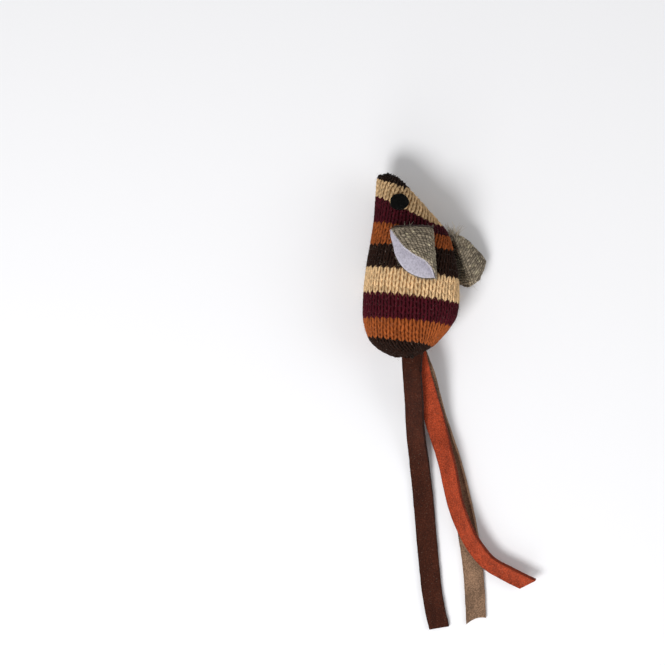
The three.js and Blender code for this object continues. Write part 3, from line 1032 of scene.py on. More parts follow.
class Ground:
    """Height of the cover over a seat."""

    def __init__(self, form):
        shape = bmesh.new()
        bmesh.ops.create_uvsphere(shape, u_segments=96, v_segments=72, radius=1)
        mesh = bpy.data.meshes.new("ground")
        shape.to_mesh(mesh)
        ball = places(mesh)
        station = (1 - ball[:, 2]) / 2
        angle = np.arctan2(ball[:, 1], ball[:, 0]) % (2 * math.pi)
        move_to(mesh, form(station, angle))
        shape.clear()
        shape.from_mesh(mesh)
        self.tree = BVHTree.FromBMesh(shape)
        shape.free()
        bpy.data.meshes.remove(mesh)

    def rise(self, seat, p, q):
        top = BODY[2]
        heights = np.full(len(p), -top / 2)
        for i, start in enumerate(seat.points(p, q, np.full(len(p), top))):
            distance = self.tree.ray_cast(Vector(start), -seat.out)[3]
            if distance is not None:
                heights[i] = top - distance
        return heights

    def field(self, seat, reach, steps=41):
        """The heights round a seat as a net that many points are read from quickly."""
        line = np.linspace(-reach, reach, steps)
        p, q = np.meshgrid(line, line, indexing="ij")
        heights = self.rise(seat, p.ravel(), q.ravel()).reshape(steps, steps)

        def height(*spot):
            steps_in = [(part + reach) / (2 * reach) * (steps - 1) for part in spot]
            return between(heights, *np.clip(steps_in, 0, steps - 1.001))

        return height


# ---------------------------------------------------------------- the ears

SPARE_CLOTH = 2.4 * MM  # what the net of an ear's cloth has more than its fold's length
THREADS = 140  # threads each way that a weave has room for
WEAVE_RELIEF = 0.27 * MM

# Station, angle, stand and turn place the seat of an ear's base. Bow is how far the outer layer
# bows up, most where the power bulge puts it. Drawn and notch say how far its rim is drawn in,
# and blunt by how much the fold's tip is shorter. Lean and curve shift the ear along its base,
# and closing shuts its tip. The rest counts and sizes the threads that fray.
EARS = {
    "left": Plan(
        station=0.382, angle=0.51 * math.pi, stand=0, turn=-5, bow=7.4 * MM, bulge=1.35,
        drawn=0.145, notch=0.085, blunt=0.045, lean=0.65 * MM, curve=0, closing=0, seed=40,
        rim_frays=190, base_frays=60, tuft=0, thick_frays=10, thick_length=2.2 * MM,
        base_length=1.25,
    ),
    "right": Plan(
        station=0.395, angle=1.17 * math.pi, stand=12, turn=0, bow=8.1 * MM, bulge=2.1,
        drawn=0.04, notch=0, blunt=0.06, lean=0, curve=1.2 * MM, closing=1, seed=50,
        rim_frays=170, base_frays=420, tuft=190, thick_frays=190, thick_length=5 * MM,
        base_length=2.0,
    ),
}


class EarFold:
    """Folds the flat half disc of an ear over the cover. Flat x runs from the fold, above 0 on the
    outer layer and below 0 on the layer that lies on the cover, and y from the sewn edge."""

    def __init__(self, side, ear, ground):
        self.side = side
        self.ear = ear
        self.plan = plan = EARS[side]
        self.seat = Seat(plan.station, plan.angle, plan.stand, plan.turn)
        flat = Seat(plan.station, plan.angle, 0, plan.turn) if plan.stand else self.seat
        self.cover = ground.field(flat, 24 * MM)
        self.backwards = -SIDES[side]

    def rim(self, x, y):
        """How far the cut rim is from the fold's end, in the direction of flat points."""
        sweep = np.clip(np.arctan2(y, np.abs(x)) / (math.pi / 2), 0, 1)
        reach = self.ear.base + (self.ear.fold - self.ear.base) * sweep
        if self.side == "right":
            return reach * (1 + 0.14 * np.sin(math.pi * sweep**2.4) + 0.02 * sweep)
        short = 0.09 * (1 - smooth(0.2, 0.5, sweep))
        full = 0.045 * smooth(0.42, 0.64, sweep) * (1 - smooth(0.84, 1, sweep))
        return reach * (1 - short + np.where(np.asarray(x) < 0, full, 0))

    def lay(self, x, y, depth):
        """Where flat points come to lie, a depth inside the folded ear's outer faces."""
        ear, plan = self.ear, self.plan
        # sweep runs from the sewn edge, 0, to the fold, 1, and out from the base's end to the rim
        away = np.abs(x)
        upper = x > 0
        sweep = np.arctan2(y, np.maximum(away, 1e-9)) / (math.pi / 2)
        out = np.hypot(away, y) / self.rim(x, y)
        bulge = np.sin(math.pi * np.clip(sweep, 0, 1) ** plan.bulge)
        notch = smooth(0.6, 0.86, sweep) * (1 - smooth(0.93, 1, sweep))
        inwards = plan.drawn * bulge + plan.notch * notch
        pull = np.where(upper, 1 - inwards * np.clip(out, 0, 1.2) ** 1.5, 1)
        away, down = away * pull, y * pull
        down = down * (1 - plan.blunt * smooth(0.6, 1, sweep) * np.clip(out, 0, 1) ** 2)
        # p runs along the base, and the fold leans and curves along it
        share = np.clip(down / ear.fold, 0, 1)
        lean = plan.lean * (1 - 1.6 * share)
        p = (ear.base / 2 - away - lean - depth * 0.9) * self.backwards
        p = p + self.backwards * plan.curve * np.sin(math.pi * share)
        # the lower layer follows the cover, and one that stands comes nearer to it further down
        low = self.cover(p, down * 0 if plan.stand else down)
        if plan.stand:
            tilt = math.radians(plan.stand)
            lying = self.cover(p, down * math.cos(tilt)) - down * math.sin(tilt)
            low = low + (lying - low) * 0.3 * smooth(0, 8 * MM, down)
        low = low + 0.3 * MM  # above the yarn's face
        # the two layers lie a stack apart, and nearer at their edges and where the tip closes
        closing = plan.closing * smooth(13.5 * MM, 20 * MM, down)
        stack = 3.5 * MM * (1 - 0.45 * closing)
        pressed = np.clip(np.minimum(away, down) / (stack / 2), 0, 1)
        edge = 1.2 * MM + (stack - 1.2 * MM) * np.sin(pressed * math.pi / 2)
        high = low + edge + plan.bow * np.clip(out, 0, 1.2) * bulge * (1 - 0.9 * closing)
        bottom, top = low + depth, high - depth
        half = np.maximum((top - bottom) / 2, 0.06 * MM)
        round_it = np.sin(np.clip(away / (0.9 * MM), 0, 1) * math.pi / 2)
        height = (top + bottom) / 2 + np.where(upper, 1, -1) * half * round_it
        spots = self.seat.points(p, down, height)
        floor = FLOOR_GAP + depth
        over = spots[:, 2] - floor
        spots[:, 2] = floor + np.where(over > MM, over, MM * np.exp(np.minimum(over / MM - 1, 0)))
        return spots

    def flat_area(self, past):
        """Area of the flat half disc."""
        turns = np.linspace(0, math.pi, 181)
        reach = self.rim(np.cos(turns), np.sin(turns)) + past
        return float((reach**2).mean() * math.pi / 2)


def ear_sheet(name, fold, past, step, finish):
    """A flat half disc of cloth, cut out of a net. Returns it with its flat points."""
    reach = fold.ear.fold + SPARE_CLOTH
    shape = bmesh.new()
    bmesh.ops.create_grid(
        shape, x_segments=int(2 * reach / step) // 2 * 2, y_segments=int(reach / step), size=1
    )
    for vert in shape.verts:
        vert.co.x *= reach
        vert.co.y = (vert.co.y + 1) / 2 * reach

    def cut_at(vert):
        return float(fold.rim(vert.co.x, vert.co.y)) + past

    outside = [
        vert for vert in shape.verts
        if math.hypot(vert.co.x, vert.co.y) > cut_at(vert) + step * 0.7
    ]
    bmesh.ops.delete(shape, geom=outside, context="VERTS")
    loose = [vert for vert in shape.verts if not vert.link_faces]
    bmesh.ops.delete(shape, geom=loose, context="VERTS")
    for vert in shape.verts:
        if vert.is_boundary and vert.co.y > step / 2:
            vert.co *= cut_at(vert) / max(math.hypot(vert.co.x, vert.co.y), 1e-9)
    piece = new_object(name, shape, finish)
    return piece, places(piece.data)


def cloth_lengths(fold, flat):
    """Distances of flat points along the laid cloth from the fold and from the sewn edge."""
    reach = fold.ear.fold + SPARE_CLOTH
    steps = 81
    x, y = np.meshgrid(
        np.linspace(-reach, reach, 2 * steps - 1), np.linspace(0, reach, steps), indexing="ij"
    )
    laid = fold.lay(x.ravel(), y.ravel(), fold.ear.cloth / 2).reshape(*x.shape, 3)
    both = np.zeros((*x.shape, 2))
    both[1:, :, 0] = np.cumsum(np.linalg.norm(np.diff(laid, axis=0), axis=2), axis=0)
    both[:, :, 0] -= both[steps - 1, :, 0].copy()
    both[:, 1:, 1] = np.cumsum(np.linalg.norm(np.diff(laid, axis=1), axis=2), axis=1)
    u = np.clip((flat[:, 0] + reach) / reach * (steps - 1), 0, 2 * steps - 2.001)
    v = np.clip(flat[:, 1] / reach * (steps - 1), 0, steps - 1.001)
    return between(both, u, v)


def weave(flat, ear, seed):
    """Relief, colour and hollows of a coarse plain weave at points of a cloth. The hollows give
    bumps and painted shade.
    """
    rng = np.random.default_rng(seed)
    wobble = 0.26 * flat_ripple(flat[:, 0], flat[:, 1], 3.2 * MM, seed)  # how crooked threads run
    x, y = flat[:, 0] / (ear.thread * 1.35) + wobble, flat[:, 1] / ear.thread - wobble
    i = np.clip(np.floor(x).astype(int) + THREADS // 2, 0, THREADS - 1)
    j = np.clip(np.floor(y).astype(int) + 10, 0, THREADS - 1)
    u, v = x % 1 - 0.5, y % 1 - 0.5
    warp_over = (i + j) % 2 == 0
    across, along = np.where(warp_over, u, v), np.where(warp_over, v, u)
    thickness = rng.uniform(0.62, 1.32, (2, THREADS))
    crown = np.cos(math.pi * across) ** 0.7 * (0.1 + 0.9 * np.cos(math.pi * along))
    height = crown * np.where(warp_over, thickness[0, i], thickness[1, j])
    tint = rng.normal(1, 0.08, (2, THREADS))
    patch = rng.normal(1, 0.21, (THREADS, THREADS))
    shade = np.where(warp_over, tint[0, i], tint[1, j]) * patch[i, j]
    slub = rng.random((THREADS, THREADS)) < np.where(rng.random((THREADS, 1)) < 0.4, 0.22, 0.06)
    tones = np.array(ear.olive) * np.clip(shade, 0.5, 1.6)[:, None]
    tones = np.where(slub[i, j][:, None], np.array(ear.slub) * shade[:, None], tones)
    return height, tones, np.clip(1.12 - height * 1.5, 0, 1)


def sew_ear(side, ear, ground, cloth_finish, lining_finish, fibre):
    """One ear: woven cloth, fleece inside it, and threads that fray from its cut edges."""
    fold = EarFold(side, ear, ground)
    seed = fold.plan.seed
    cloth, flat = ear_sheet(f"{side}_ear_weave", fold, 0.4 * MM, 0.15 * MM, cloth_finish)
    relief, tones, low = weave(cloth_lengths(fold, flat), ear, seed)
    x, y = flat[:, 0], flat[:, 1]
    lump = 0.16 * MM * flat_ripple(x, y, 5 * MM, seed + 1)
    middle = fold.lay(x, y, ear.cloth / 2 + lump)
    layer, step = np.where(x > 0, 1, -1), 0.2 * MM
    side_x = fold.lay(x + layer * step, y, ear.cloth / 2) - middle
    side_y = fold.lay(x, y + step, ear.cloth / 2) - middle
    outward = unit(np.cross(side_x, side_y))
    facing = np.sum(outward * np.array(fold.seat.out), axis=1) * layer
    outward = outward * np.where(facing < 0, -1, 1)[:, None]
    move_to(cloth.data, middle + outward * (relief * WEAVE_RELIEF)[:, None])
    tag(cloth.data, "thread", tones)
    # where the threads lie low, for bumps and painted shade
    tag(cloth.data, "low", low * 0.85)
    thicken(cloth, "cloth", ear.cloth * 0.62)
    lining, flat_in = ear_sheet(f"{side}_ear_fleece", fold, 0.1 * MM, 0.42 * MM, lining_finish)
    x, y = flat_in[:, 0], flat_in[:, 1]
    puff = 0.12 * MM * flat_ripple(x, y, 4 * MM, seed + 2)
    depth = ear.cloth + ear.lining * 0.45 + puff
    move_to(lining.data, fold.lay(x, np.maximum(y, 0.5 * MM), depth))
    thicken(lining, "fleece", ear.lining)
    return fold, cloth, lining, fray(fold, cloth, flat, tones, outward, fibre)


def fray(fold, cloth, flat, tones, outward, finish):
    """Threads that stick out of the cloth's cut edges."""
    plan, ear = fold.plan, fold.ear
    rng = np.random.default_rng(plan.seed + 5)
    spots = places(cloth.data)
    x, y = flat[:, 0], flat[:, 1]
    radius = np.hypot(x, y)
    at_rim = np.flatnonzero((fold.rim(x, y) + 0.5 * MM - radius < 0.3 * MM) & (y > 0.5 * MM))
    at_base = np.flatnonzero(y < 0.2 * MM)
    first = plan.rim_frays  # those before it stick out of the round edge, the rest of the base
    picks = np.concatenate([rng.choice(at_rim, first), rng.choice(at_base, plan.base_frays)])
    corner = np.flatnonzero((y < 1.2 * MM) & (np.abs(x) < 0.55 * ear.base))
    picks[first:first + plan.tuft] = rng.choice(corner, plan.tuft)
    flat_way = np.c_[x, y] / np.maximum(radius, 1e-9)[:, None]
    flat_way[at_base] = (0, -1)
    if plan.tuft:
        flat_way[corner] = (0.15, -1)
    axes = np.array([fold.seat.across * -fold.backwards, fold.seat.down])
    ways = np.c_[np.abs(flat_way[picks, 0]), flat_way[picks, 1]] @ axes
    ways = ways + outward[picks] * 0.25 + rng.normal(scale=0.42, size=(len(picks), 3))
    lengths = rng.gamma(2.0, 0.3 * MM, len(picks)) + 0.25 * MM
    lengths[first:] *= plan.base_length
    thick = slice(first, first + plan.thick_frays)
    radii = np.full(len(picks), 0.055 * MM)
    radii[thick] = 0.11 * MM
    lengths[thick] = rng.uniform(1.2 * MM, plan.thick_length, plan.thick_frays)
    return loose_fibres(
        f"{fold.side}_ear_frays", spots[picks] - ways * 0.2 * MM, ways,
        np.minimum(lengths, 5 * MM), radii, tones[picks] * 1.25, finish, plan.seed + 6, 0.9,
    )


# ---------------------------------------------------------------- the eyes

EYE_STATION = 0.272
EYE_ANGLES = {"left": 0.45 * math.pi, "right": 1.55 * math.pi}


def cut_eye(side, eye, ground, felt, fibre):
    """A disc of felt: a filled circle, inset and raised, then pressed on the knit."""
    seat = Seat(EYE_STATION, EYE_ANGLES[side])
    shape = bmesh.new()
    bmesh.ops.create_circle(shape, cap_ends=True, segments=48, radius=eye.across / 2)
    bmesh.ops.inset_region(shape, faces=shape.faces, thickness=0.15 * MM)
    for thickness in (0.25, 0.4, 0.5, 0.6, 0.6):
        inner = [face for face in shape.faces if len(face.verts) > 4]
        bmesh.ops.inset_region(shape, faces=inner, thickness=thickness * MM)
    bmesh.ops.triangulate(shape, faces=[face for face in shape.faces if len(face.verts) > 4])
    made = bmesh.ops.extrude_face_region(shape, geom=list(shape.faces))
    bmesh.ops.translate(shape, verts=only(made, BMVert), vec=(0, 0, eye.thick))
    bmesh.ops.subdivide_edges(shape, edges=shape.edges, cuts=1, use_grid_fill=True)
    piece = new_object(f"{side}_eye_felt", shape, felt)
    flat = places(piece.data)
    radius = np.hypot(flat[:, 0], flat[:, 1])
    turn = np.arctan2(flat[:, 1], flat[:, 0])
    edge = smooth(2.2 * MM, 3 * MM, radius)
    uneven = 1 + edge * 0.022 * (np.sin(5 * turn + 1) + 0.7 * np.sin(9 * turn + 2.3))
    share = flat[:, 2] / eye.thick
    cover = ground.field(seat, 5 * MM, 31)
    p = flat[:, 0] * uneven * 1.05 - SIDES[side] * 0.3 * MM
    q = flat[:, 1] * uneven - 0.3 * MM
    round_it = 1 - 0.24 * edge * np.abs(share - 0.5)
    height = cover(p * 0.9, q * 0.9) + 0.05 * MM + share * eye.thick * (1 - 0.4 * edge**2)
    height += 0.07 * MM * ripple(flat, 1.3 * MM, 61) * share
    move_to(piece.data, seat.points(p * round_it, q * round_it, height))
    outwards(piece)
    rng, count = np.random.default_rng(62), 260
    spots = places(piece.data)
    rim = rng.choice(np.flatnonzero(radius > 2.7 * MM), count)
    away = unit(spots[rim] - spots.mean(axis=0))
    ways = away + rng.normal(scale=0.6, size=(count, 3))
    tones = np.tile(np.array(eye.felt) * 1.3, (count, 1))
    fuzz = loose_fibres(
        f"{side}_eye_fuzz", spots[rim] - away * ROOT_DEPTH, ways,
        rng.uniform(0.15, 0.55, count) * MM, 0.016 * MM, tones, fibre, 63, 0.8,
    )
    return piece, fuzz


# ---------------------------------------------------------------- the tails

TAIL_REACH = 92 * MM  # what the routes' numbers are shares of
LAYER_HEIGHT = 1.6 * MM  # from one tail to the one that lies on it
BEND = 1.2 * MM  # width over which a strip bends up
LINE_STEPS, TAIL_STEPS = 400, 150  # points of a tail's line, and cells along its net

# A route runs from the stitch, to the back side and away. Lean and hollow shape the end's cut.
# Curls say at distances in mm how many degrees a strip turns up, and how many mm from its belly
# side it starts to. Drawn_in is how much of the width that this takes the strip moves back over.
# A strip's cut edge takes its colour scaled by a share, painted shade below 1 on the brown and
# orange strips and a painted highlight above 1 on the tan one, then multiplied by a painted edge
# shade.
TAILS = {
    "brown": Plan(
        layer=2, seed=71, nap_seed=81, lean=-0.05, hollow=0, drawn_in=0.1,
        cut_tone=0.7, cut_worn=CUT_EDGE_SHADE,
        route=(
            (0, 0), (-0.009, 0.047), (0.002, 0.2), (0.007, 0.298),
            (0.032, 0.524), (0.05, 0.728), (0.069, 0.907), (0.093, 1.02),
        ),
        curls=(
            (0, 0, 0), (3, 6, 0), (8, 30, 0), (28, 32, 0), (42, 16, 0), (58, 5, 0), (100, 2, 0),
        ),
    ),
    "orange": Plan(
        layer=1, seed=72, nap_seed=82, lean=-0.48, hollow=0, drawn_in=0.66,
        cut_tone=0.7, cut_worn=CUT_EDGE_SHADE,
        route=(
            (0, 0), (0.013, 0.06), (0.029, 0.118), (0.054, 0.201), (0.084, 0.301), (0.118, 0.434),
            (0.148, 0.574), (0.193, 0.685), (0.262, 0.779), (0.343, 0.827), (0.426, 0.868),
        ),
        curls=(
            (0, 0, 6), (8, 3, 5), (14, 14, 4.2), (26, 20, 2.6), (36, 38, 0), (60, 45, 0),
            (78, 44, 0), (110, 42, 0),
        ),
    ),
    "tan": Plan(
        layer=0, seed=73, nap_seed=83, lean=0.28, hollow=0.9 * MM, drawn_in=0,
        cut_tone=1.5, cut_worn=FACE_EDGE_SHADE,
        route=(
            (0, 0), (0.022, 0.06), (0.043, 0.118), (0.079, 0.247), (0.136, 0.42),
            (0.176, 0.577), (0.197, 0.678), (0.213, 0.789), (0.222, 0.9), (0.227, 1.004),
        ),
        curls=(
            (0, 0, 6), (10, 2, 5), (20, 20, 5), (32, 36, 5), (60, 38, 4.9), (74, 4, 4), (100, 0, 4),
        ),
    ),
}


def tail_line(route, steps):
    """Points and ways along a tail at equal steps, from the stitch, and its length."""
    points = np.array([(across, -away) for across, away in route]) * TAIL_REACH
    fine = []
    last = len(points) - 1
    for t in np.linspace(0, last, 40 * last + 1):
        i = min(int(t), last - 1)
        w = t - i
        a, b = points[max(i - 1, 0)], points[i]
        c, d = points[i + 1], points[min(i + 2, last)]
        leave, arrive = (c - a) / 2, (d - b) / 2
        fine.append(
            (2 * b - 2 * c + leave + arrive) * w**3
            + (-3 * b + 3 * c - 2 * leave - arrive) * w**2 + leave * w + b
        )
    fine = np.array(fine)
    gone = travelled(fine)
    even = np.linspace(0, gone[-1], steps)
    line = np.stack([np.interp(even, gone, fine[:, k]) for k in (0, 1)], axis=1)
    return line, unit(np.gradient(line, axis=0)), gone[-1]


def tail_height(name, distance):
    """Height of a tail's lower face at a distance from the stitch. The orange strip passes over
    the tan one's rim, and the brown one comes down to the floor."""
    drop = 1 - smooth(6 * MM, 36 * MM, distance)
    layer = TAILS[name].layer
    if name == "orange":
        over_tan = smooth(20 * MM, 34 * MM, distance) * (1 - smooth(62 * MM, 76 * MM, distance))
        layer = layer + 0.55 * over_tan
    if name == "brown":
        layer = layer * (1 - smooth(25 * MM, 46 * MM, distance))
    return STACK[0] * drop + LAYER_HEIGHT * layer


def curl_up(past, turn):
    """How far points past a bend reach sideways and up."""
    past, turn = np.clip(past, 0, None), np.maximum(turn, 1e-4)
    bow = BEND / turn
    round_it = np.clip(past / BEND, 0, 1) * turn
    straight = np.clip(past - BEND, 0, None)
    return (
        bow * np.sin(round_it) + straight * np.cos(turn),
        bow * (1 - np.cos(round_it)) + straight * np.sin(turn),
    )


def cut_tail(name, tail, face, edge):
    """A suede strip: a flat net laid along the tail's line and given a thickness."""
    plan = TAILS[name]
    line, ways, whole = tail_line(plan.route, LINE_STEPS)
    shape = bmesh.new()
    bmesh.ops.create_grid(shape, x_segments=TAIL_STEPS, y_segments=12, size=1)
    piece = new_object(f"{name}_tail_strip", shape, face, edge)
    flat = places(piece.data)
    share, side = (flat[:, 0] + 1) / 2, flat[:, 1]
    wide = tail.width / 2
    start = -wide * np.sqrt(np.clip(1 - side**2, 0, 1)) * 0.98
    end = whole - np.abs(plan.lean) * wide - plan.lean * side * wide - plan.hollow * (1 - side**2)
    reach = start + share * (end - start)
    index = np.clip(reach / whole, 0, 1) * (LINE_STEPS - 1)
    low = np.minimum(index.astype(int), LINE_STEPS - 2)
    part = (index - low)[:, None]
    base = line[low] * (1 - part) + line[low + 1] * part
    way = unit(ways[low] * (1 - part) + ways[low + 1] * part)
    base = base + way * np.minimum(reach, 0)[:, None]
    sideways = np.stack([-way[:, 1], way[:, 0]], axis=1)
    nick = 0.1 * MM * flat_ripple(reach, side * 0.02, 7 * MM, plan.seed)
    nick += 0.035 * MM * flat_ripple(reach, side * 0.02, 1.1 * MM, plan.seed + 3)
    spot = base + sideways * (side * wide + nick * side**2)[:, None]
    height = tail_height(name, np.linalg.norm(spot, axis=1)) + tail.thick / 2
    if plan.layer:
        height += 0.16 * MM * side**2 * smooth(10 * MM, 30 * MM, reach)
    lift = 1 + flat_ripple(reach, side * 0.01, 16 * MM, plan.seed + 1)
    height += 0.1 * MM * lift * smooth(12 * MM, 30 * MM, reach)
    # the strip bends up past a line that runs along it
    places_on, turns, starts = np.array(plan.curls, float).T
    turn = np.radians(np.interp(reach, places_on * MM, turns))
    first = np.interp(reach, places_on * MM, starts) * MM
    past = (side + 1) * wide - first
    bent, risen = curl_up(past, turn)
    whole_bent, _ = curl_up(tail.width - first, turn)
    drawn_in = (tail.width - first - whole_bent) * plan.drawn_in
    spot = spot + sideways * (bent - np.clip(past, 0, None) + drawn_in)[:, None]
    spots = np.c_[spot[:, 0] + STITCH.x, spot[:, 1] + STITCH.y, height + risen]
    move_to(piece.data, spots)
    tag(piece.data, "edge", smooth(0.82, 1, np.abs(side)))
    thicken(piece, "strip", tail.thick * 0.94).material_offset_rim = 1
    soft = piece.modifiers.new("soft_edges", "BEVEL")
    adjust(soft, width=0.16 * MM, segments=2, limit_method="ANGLE")
    return piece, spots, side


def tail_nap(name, tail, spots, side, tone, finish):
    """Short fibres along a strip's cut edges."""
    rng, count = np.random.default_rng(TAILS[name].nap_seed), 520
    rim = rng.choice(np.flatnonzero(np.abs(side) > 0.97), count)
    roots = spots[rim] + np.c_[np.zeros((count, 2)), rng.uniform(-0.5, 0.5, count) * tail.thick]
    row = TAIL_STEPS + 1
    inner = spots[np.clip(rim + np.where(side[rim] > 0, -row, row), 0, len(spots) - 1)]
    ways = unit(spots[rim] - inner) + rng.normal(scale=0.8, size=(count, 3))
    tones = np.tile(np.array(tone), (count, 1)) * rng.uniform(0.8, 1.5, (count, 1))
    return loose_fibres(
        f"{name}_tail_nap", roots, ways, rng.uniform(0.12, 0.6, count) * MM, 0.014 * MM,
        tones, finish, 84, 0.8,
    )


# ---------------------------------------------------------------- the filling


def lump_filling(node, name, finish, seed):
    """Filling behind the cover, from a copy of its solid with an uneven, tufted face."""
    shape = bmesh.new()
    shape.from_mesh(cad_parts[node].data)
    bmesh.ops.remove_doubles(shape, verts=shape.verts, dist=0.01 * MM)
    bmesh.ops.triangulate(shape, faces=shape.faces)
    long_edges = [edge for edge in shape.edges if edge.calc_length() > 1.6 * MM]
    bmesh.ops.subdivide_edges(shape, edges=long_edges, cuts=1)
    bmesh.ops.triangulate(shape, faces=[face for face in shape.faces if len(face.verts) > 3])
    piece = new_object(name, shape, finish)
    spots = places(piece.data)
    depth = 0.9 * MM + 0.35 * MM * ripple(spots, 4 * MM, seed)
    move_to(piece.data, spots - fetch(piece.data.vertices, "normal", 3, float) * depth[:, None])
    return piece


# ---------------------------------------------------------------- operators

VIEW_MIDDLE = (-10.07 * MM, 9.23 * MM)  # middle of the picture, from the body's belly and rump
LIT_SPOT = (-12 * MM, 30 * MM, 0)  # where the lamps point
shared = {}  # what one operator leaves for the next ones


def settings(group):
    return getattr(bpy.context.scene, "mouse_" + group)


class MOUSE_OT_stage(bpy.types.Operator):
    """Sets the camera, a pale floor and soft studio lights"""

    bl_idname = "mouse.stage"
    bl_label = "Stage"

    def execute(self, context):
        stage = settings("stage")
        scene = context.scene
        camera = bpy.data.cameras.new("overhead")
        adjust(camera, lens=stage.focal, sensor_width=36, clip_start=0.05, clip_end=20)
        eye = bpy.data.objects.new("overhead", camera)
        scene.collection.objects.link(eye)
        far = stage.view * stage.focal / camera.sensor_width
        eye.location = (CORNER[0] + VIEW_MIDDLE[0], CORNER[1] + VIEW_MIDDLE[1], far + MIDDLE)
        scene.camera = eye
        shape = bmesh.new()
        bmesh.ops.create_grid(shape, x_segments=4, y_segments=4, size=3)
        bmesh.ops.translate(shape, verts=shape.verts, vec=(0, 0, -LOWEST))
        floor = new_object("floor", shape, floor_finish(stage))
        for name, place, size, power in (
            ("key", (-0.3, -0.33, 0.7), 0.3, stage.key),
            ("side", (0.5, 0.05, 0.5), 0.5, stage.key * 0.2),
            ("low", (-0.12, -0.5, 0.4), 0.4, stage.key * 0.18),
        ):
            lamp = bpy.data.lights.new(name, "AREA")
            adjust(lamp, shape="DISK", size=size, energy=power)
            lit = bpy.data.objects.new(name, lamp)
            lit.location = place
            way = Vector(LIT_SPOT) - lit.location
            lit.rotation_euler = way.to_track_quat("-Z", "Y").to_euler()
            scene.collection.objects.link(lit)
        world = bpy.data.worlds.new("room")
        world.use_nodes = True
        room = world.node_tree.nodes["Background"]
        room.inputs["Color"].default_value = (1, 1, 1, 1)
        room.inputs["Strength"].default_value = stage.fill
        scene.world = world
        scene.view_settings.view_transform = "Standard"
        return {"FINISHED"}


class MOUSE_OT_body(bpy.types.Operator):
    """Stuffs the form and knits the two sides of the cover over it"""

    bl_idname = "mouse.body"
    bl_label = "Knit body"

    def execute(self, context):
        knit = settings("knit")
        form = stuff(knit.swell)
        shared["ground"] = Ground(form)
        yarn, back = yarn_finish(), shade_sheet_finish()
        fibre = fibre_finish("yarn_fibre", 0.3)
        for side in SIDES:
            lie = KnitMap(form, side)
            cover = knit_side(lie, knit, yarn)
            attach(cover, "body")
            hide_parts(f"{side}_side_panel")
            shade_sheet = knit_back(lie, knit, back)
            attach(shade_sheet, "body")
            fuzz = knit_fuzz(cover, lie, knit, fibre)
            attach(fuzz, "body")
        return {"FINISHED"}


class MOUSE_OT_filling(bpy.types.Operator):
    """Fills the body with fibre and dried leaf"""

    bl_idname = "mouse.filling"
    bl_label = "Filling"

    def execute(self, context):
        fibre = filling_finish("fibre_filling", paint(205, 202, 196), paint(240, 238, 232), 900)
        leaf = filling_finish("leaf_filling", paint(64, 68, 36), paint(134, 138, 84), 2200)
        for node, name, finish, slot, seed in (
            ("nose_filling", "nose_fibre", fibre, "fibre_fill", 91),
            ("catnip_filling", "catnip_leaf", leaf, "catnip_leaf", 92),
            ("rump_filling", "rump_fibre", fibre, "fibre_fill", 93),
        ):
            piece = lump_filling(node, name, finish, seed)
            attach(piece, "body")
            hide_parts(node)
        return {"FINISHED"}


class MOUSE_OT_eyes(bpy.types.Operator):
    """Cuts the two felt eyes and presses them on the knit"""

    bl_idname = "mouse.eyes"
    bl_label = "Eyes"

    def execute(self, context):
        eye = settings("eye")
        felt, fibre = felt_finish(eye), fibre_finish("felt_fibre", 0.1)
        for side in SIDES:
            disc, fuzz = cut_eye(side, eye, shared["ground"], felt, fibre)
            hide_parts(f"{side}_eye")
            for piece in (disc, fuzz):
                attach(piece, "body")
        return {"FINISHED"}


class MOUSE_OT_ears(bpy.types.Operator):
    """Weaves, lines and folds the two ears"""

    bl_idname = "mouse.ears"
    bl_label = "Ears"

    def execute(self, context):
        ear = settings("ear")
        cloth_look, fleece_look = ear_cloth_finish(), fleece_finish(ear)
        fibre = fibre_finish("frayed_thread", 0.25, 0.15)
        for side in SIDES:
            fold, cloth, lining, frays = sew_ear(
                side, ear, shared["ground"], cloth_look, fleece_look, fibre
            )
            for piece, node, slot in (
                (cloth, f"{side}_ear_cloth", "ear_cloth"),
                (lining, f"{side}_ear_lining", "ear_lining"),
            ):
                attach(piece, f"{side}_ear")
                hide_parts(node)
                fold.flat_area(0.4 * MM)
            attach(frays, f"{side}_ear")
        return {"FINISHED"}


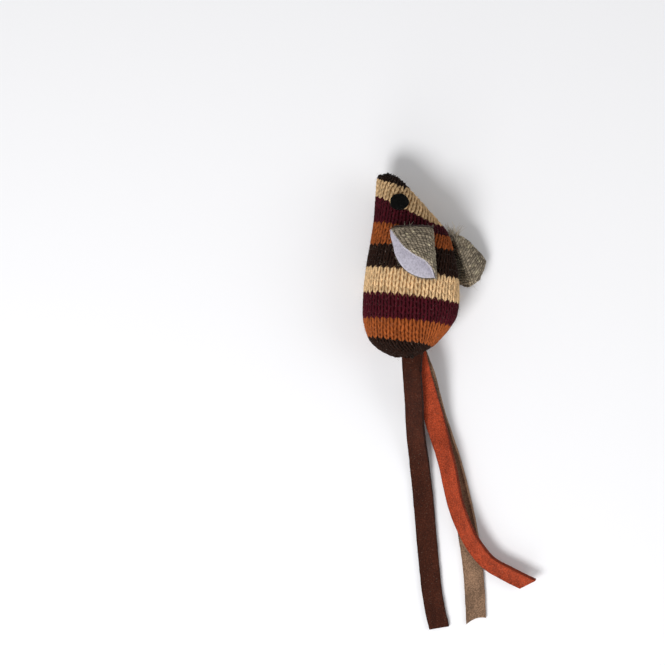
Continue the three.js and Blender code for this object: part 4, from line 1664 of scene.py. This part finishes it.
class MOUSE_OT_tails(bpy.types.Operator):
    """Cuts the three suede strips and lays them from the rump"""

    bl_idname = "mouse.tails"
    bl_label = "Tails"

    def execute(self, context):
        tail = settings("tail")
        for name, plan in TAILS.items():
            tone = tuple(getattr(tail, name))
            face = suede_finish(f"{name}_suede", tone, FACE_EDGE_SHADE)
            # the cut edge is painted darker as shade on the brown and orange strips, and lighter as
            # a highlight on the tan strip
            edge = suede_finish(f"{name}_suede_cut", darker(tone, plan.cut_tone), plan.cut_worn)
            strip, spots, side = cut_tail(name, tail, face, edge)
            fibre = fibre_finish(f"{name}_nap", 0.15, 0.2)
            nap = tail_nap(name, tail, spots, side, tone, fibre)
            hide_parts(f"{name}_tail")
            for piece in (strip, nap):
                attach(piece, f"{name}_tail")
        return {"FINISHED"}


class MOUSE_OT_threads(bpy.types.Operator):
    """Gives the sewing threads their finish"""

    bl_idname = "mouse.threads"
    bl_label = "Threads"

    def execute(self, context):
        look = thread_finish()
        for name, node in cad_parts.items():
            if name.endswith("_thread") or name == "tail_stitch":
                node.data.materials.clear()
                node.data.materials.append(look)
        return {"FINISHED"}


OPERATORS = (
    MOUSE_OT_stage, MOUSE_OT_body, MOUSE_OT_filling, MOUSE_OT_eyes, MOUSE_OT_ears,
    MOUSE_OT_tails, MOUSE_OT_threads,
)


class MOUSE_PT_panel(bpy.types.Panel):
    """Lists the mouse's pieces and their sizes"""

    bl_label = "Catnip Mouse"
    bl_idname = "MOUSE_PT_panel"
    bl_space_type = "VIEW_3D"
    bl_region_type = "UI"
    bl_category = "Catnip Mouse"

    def draw(self, context):
        for operator in OPERATORS:
            self.layout.operator(operator.bl_idname)
        for name, group in SETTINGS.items():
            box = self.layout.box()
            box.label(text=group.__doc__)
            for key in group.__annotations__:
                box.prop(settings(name), key)


def register():
    for name, group in SETTINGS.items():
        bpy.utils.register_class(group)
        setattr(bpy.types.Scene, "mouse_" + name, PointerProperty(type=group))
    for item in (*OPERATORS, MOUSE_PT_panel):
        bpy.utils.register_class(item)


def unregister():
    for item in (MOUSE_PT_panel, *reversed(OPERATORS)):
        bpy.utils.unregister_class(item)
    for name, group in SETTINGS.items():
        delattr(bpy.types.Scene, "mouse_" + name)
        bpy.utils.unregister_class(group)


def main():
    register()
    for operator in OPERATORS:
        getattr(bpy.ops.mouse, operator.bl_idname.split(".")[1])()


if __name__ == "__main__":
    main()
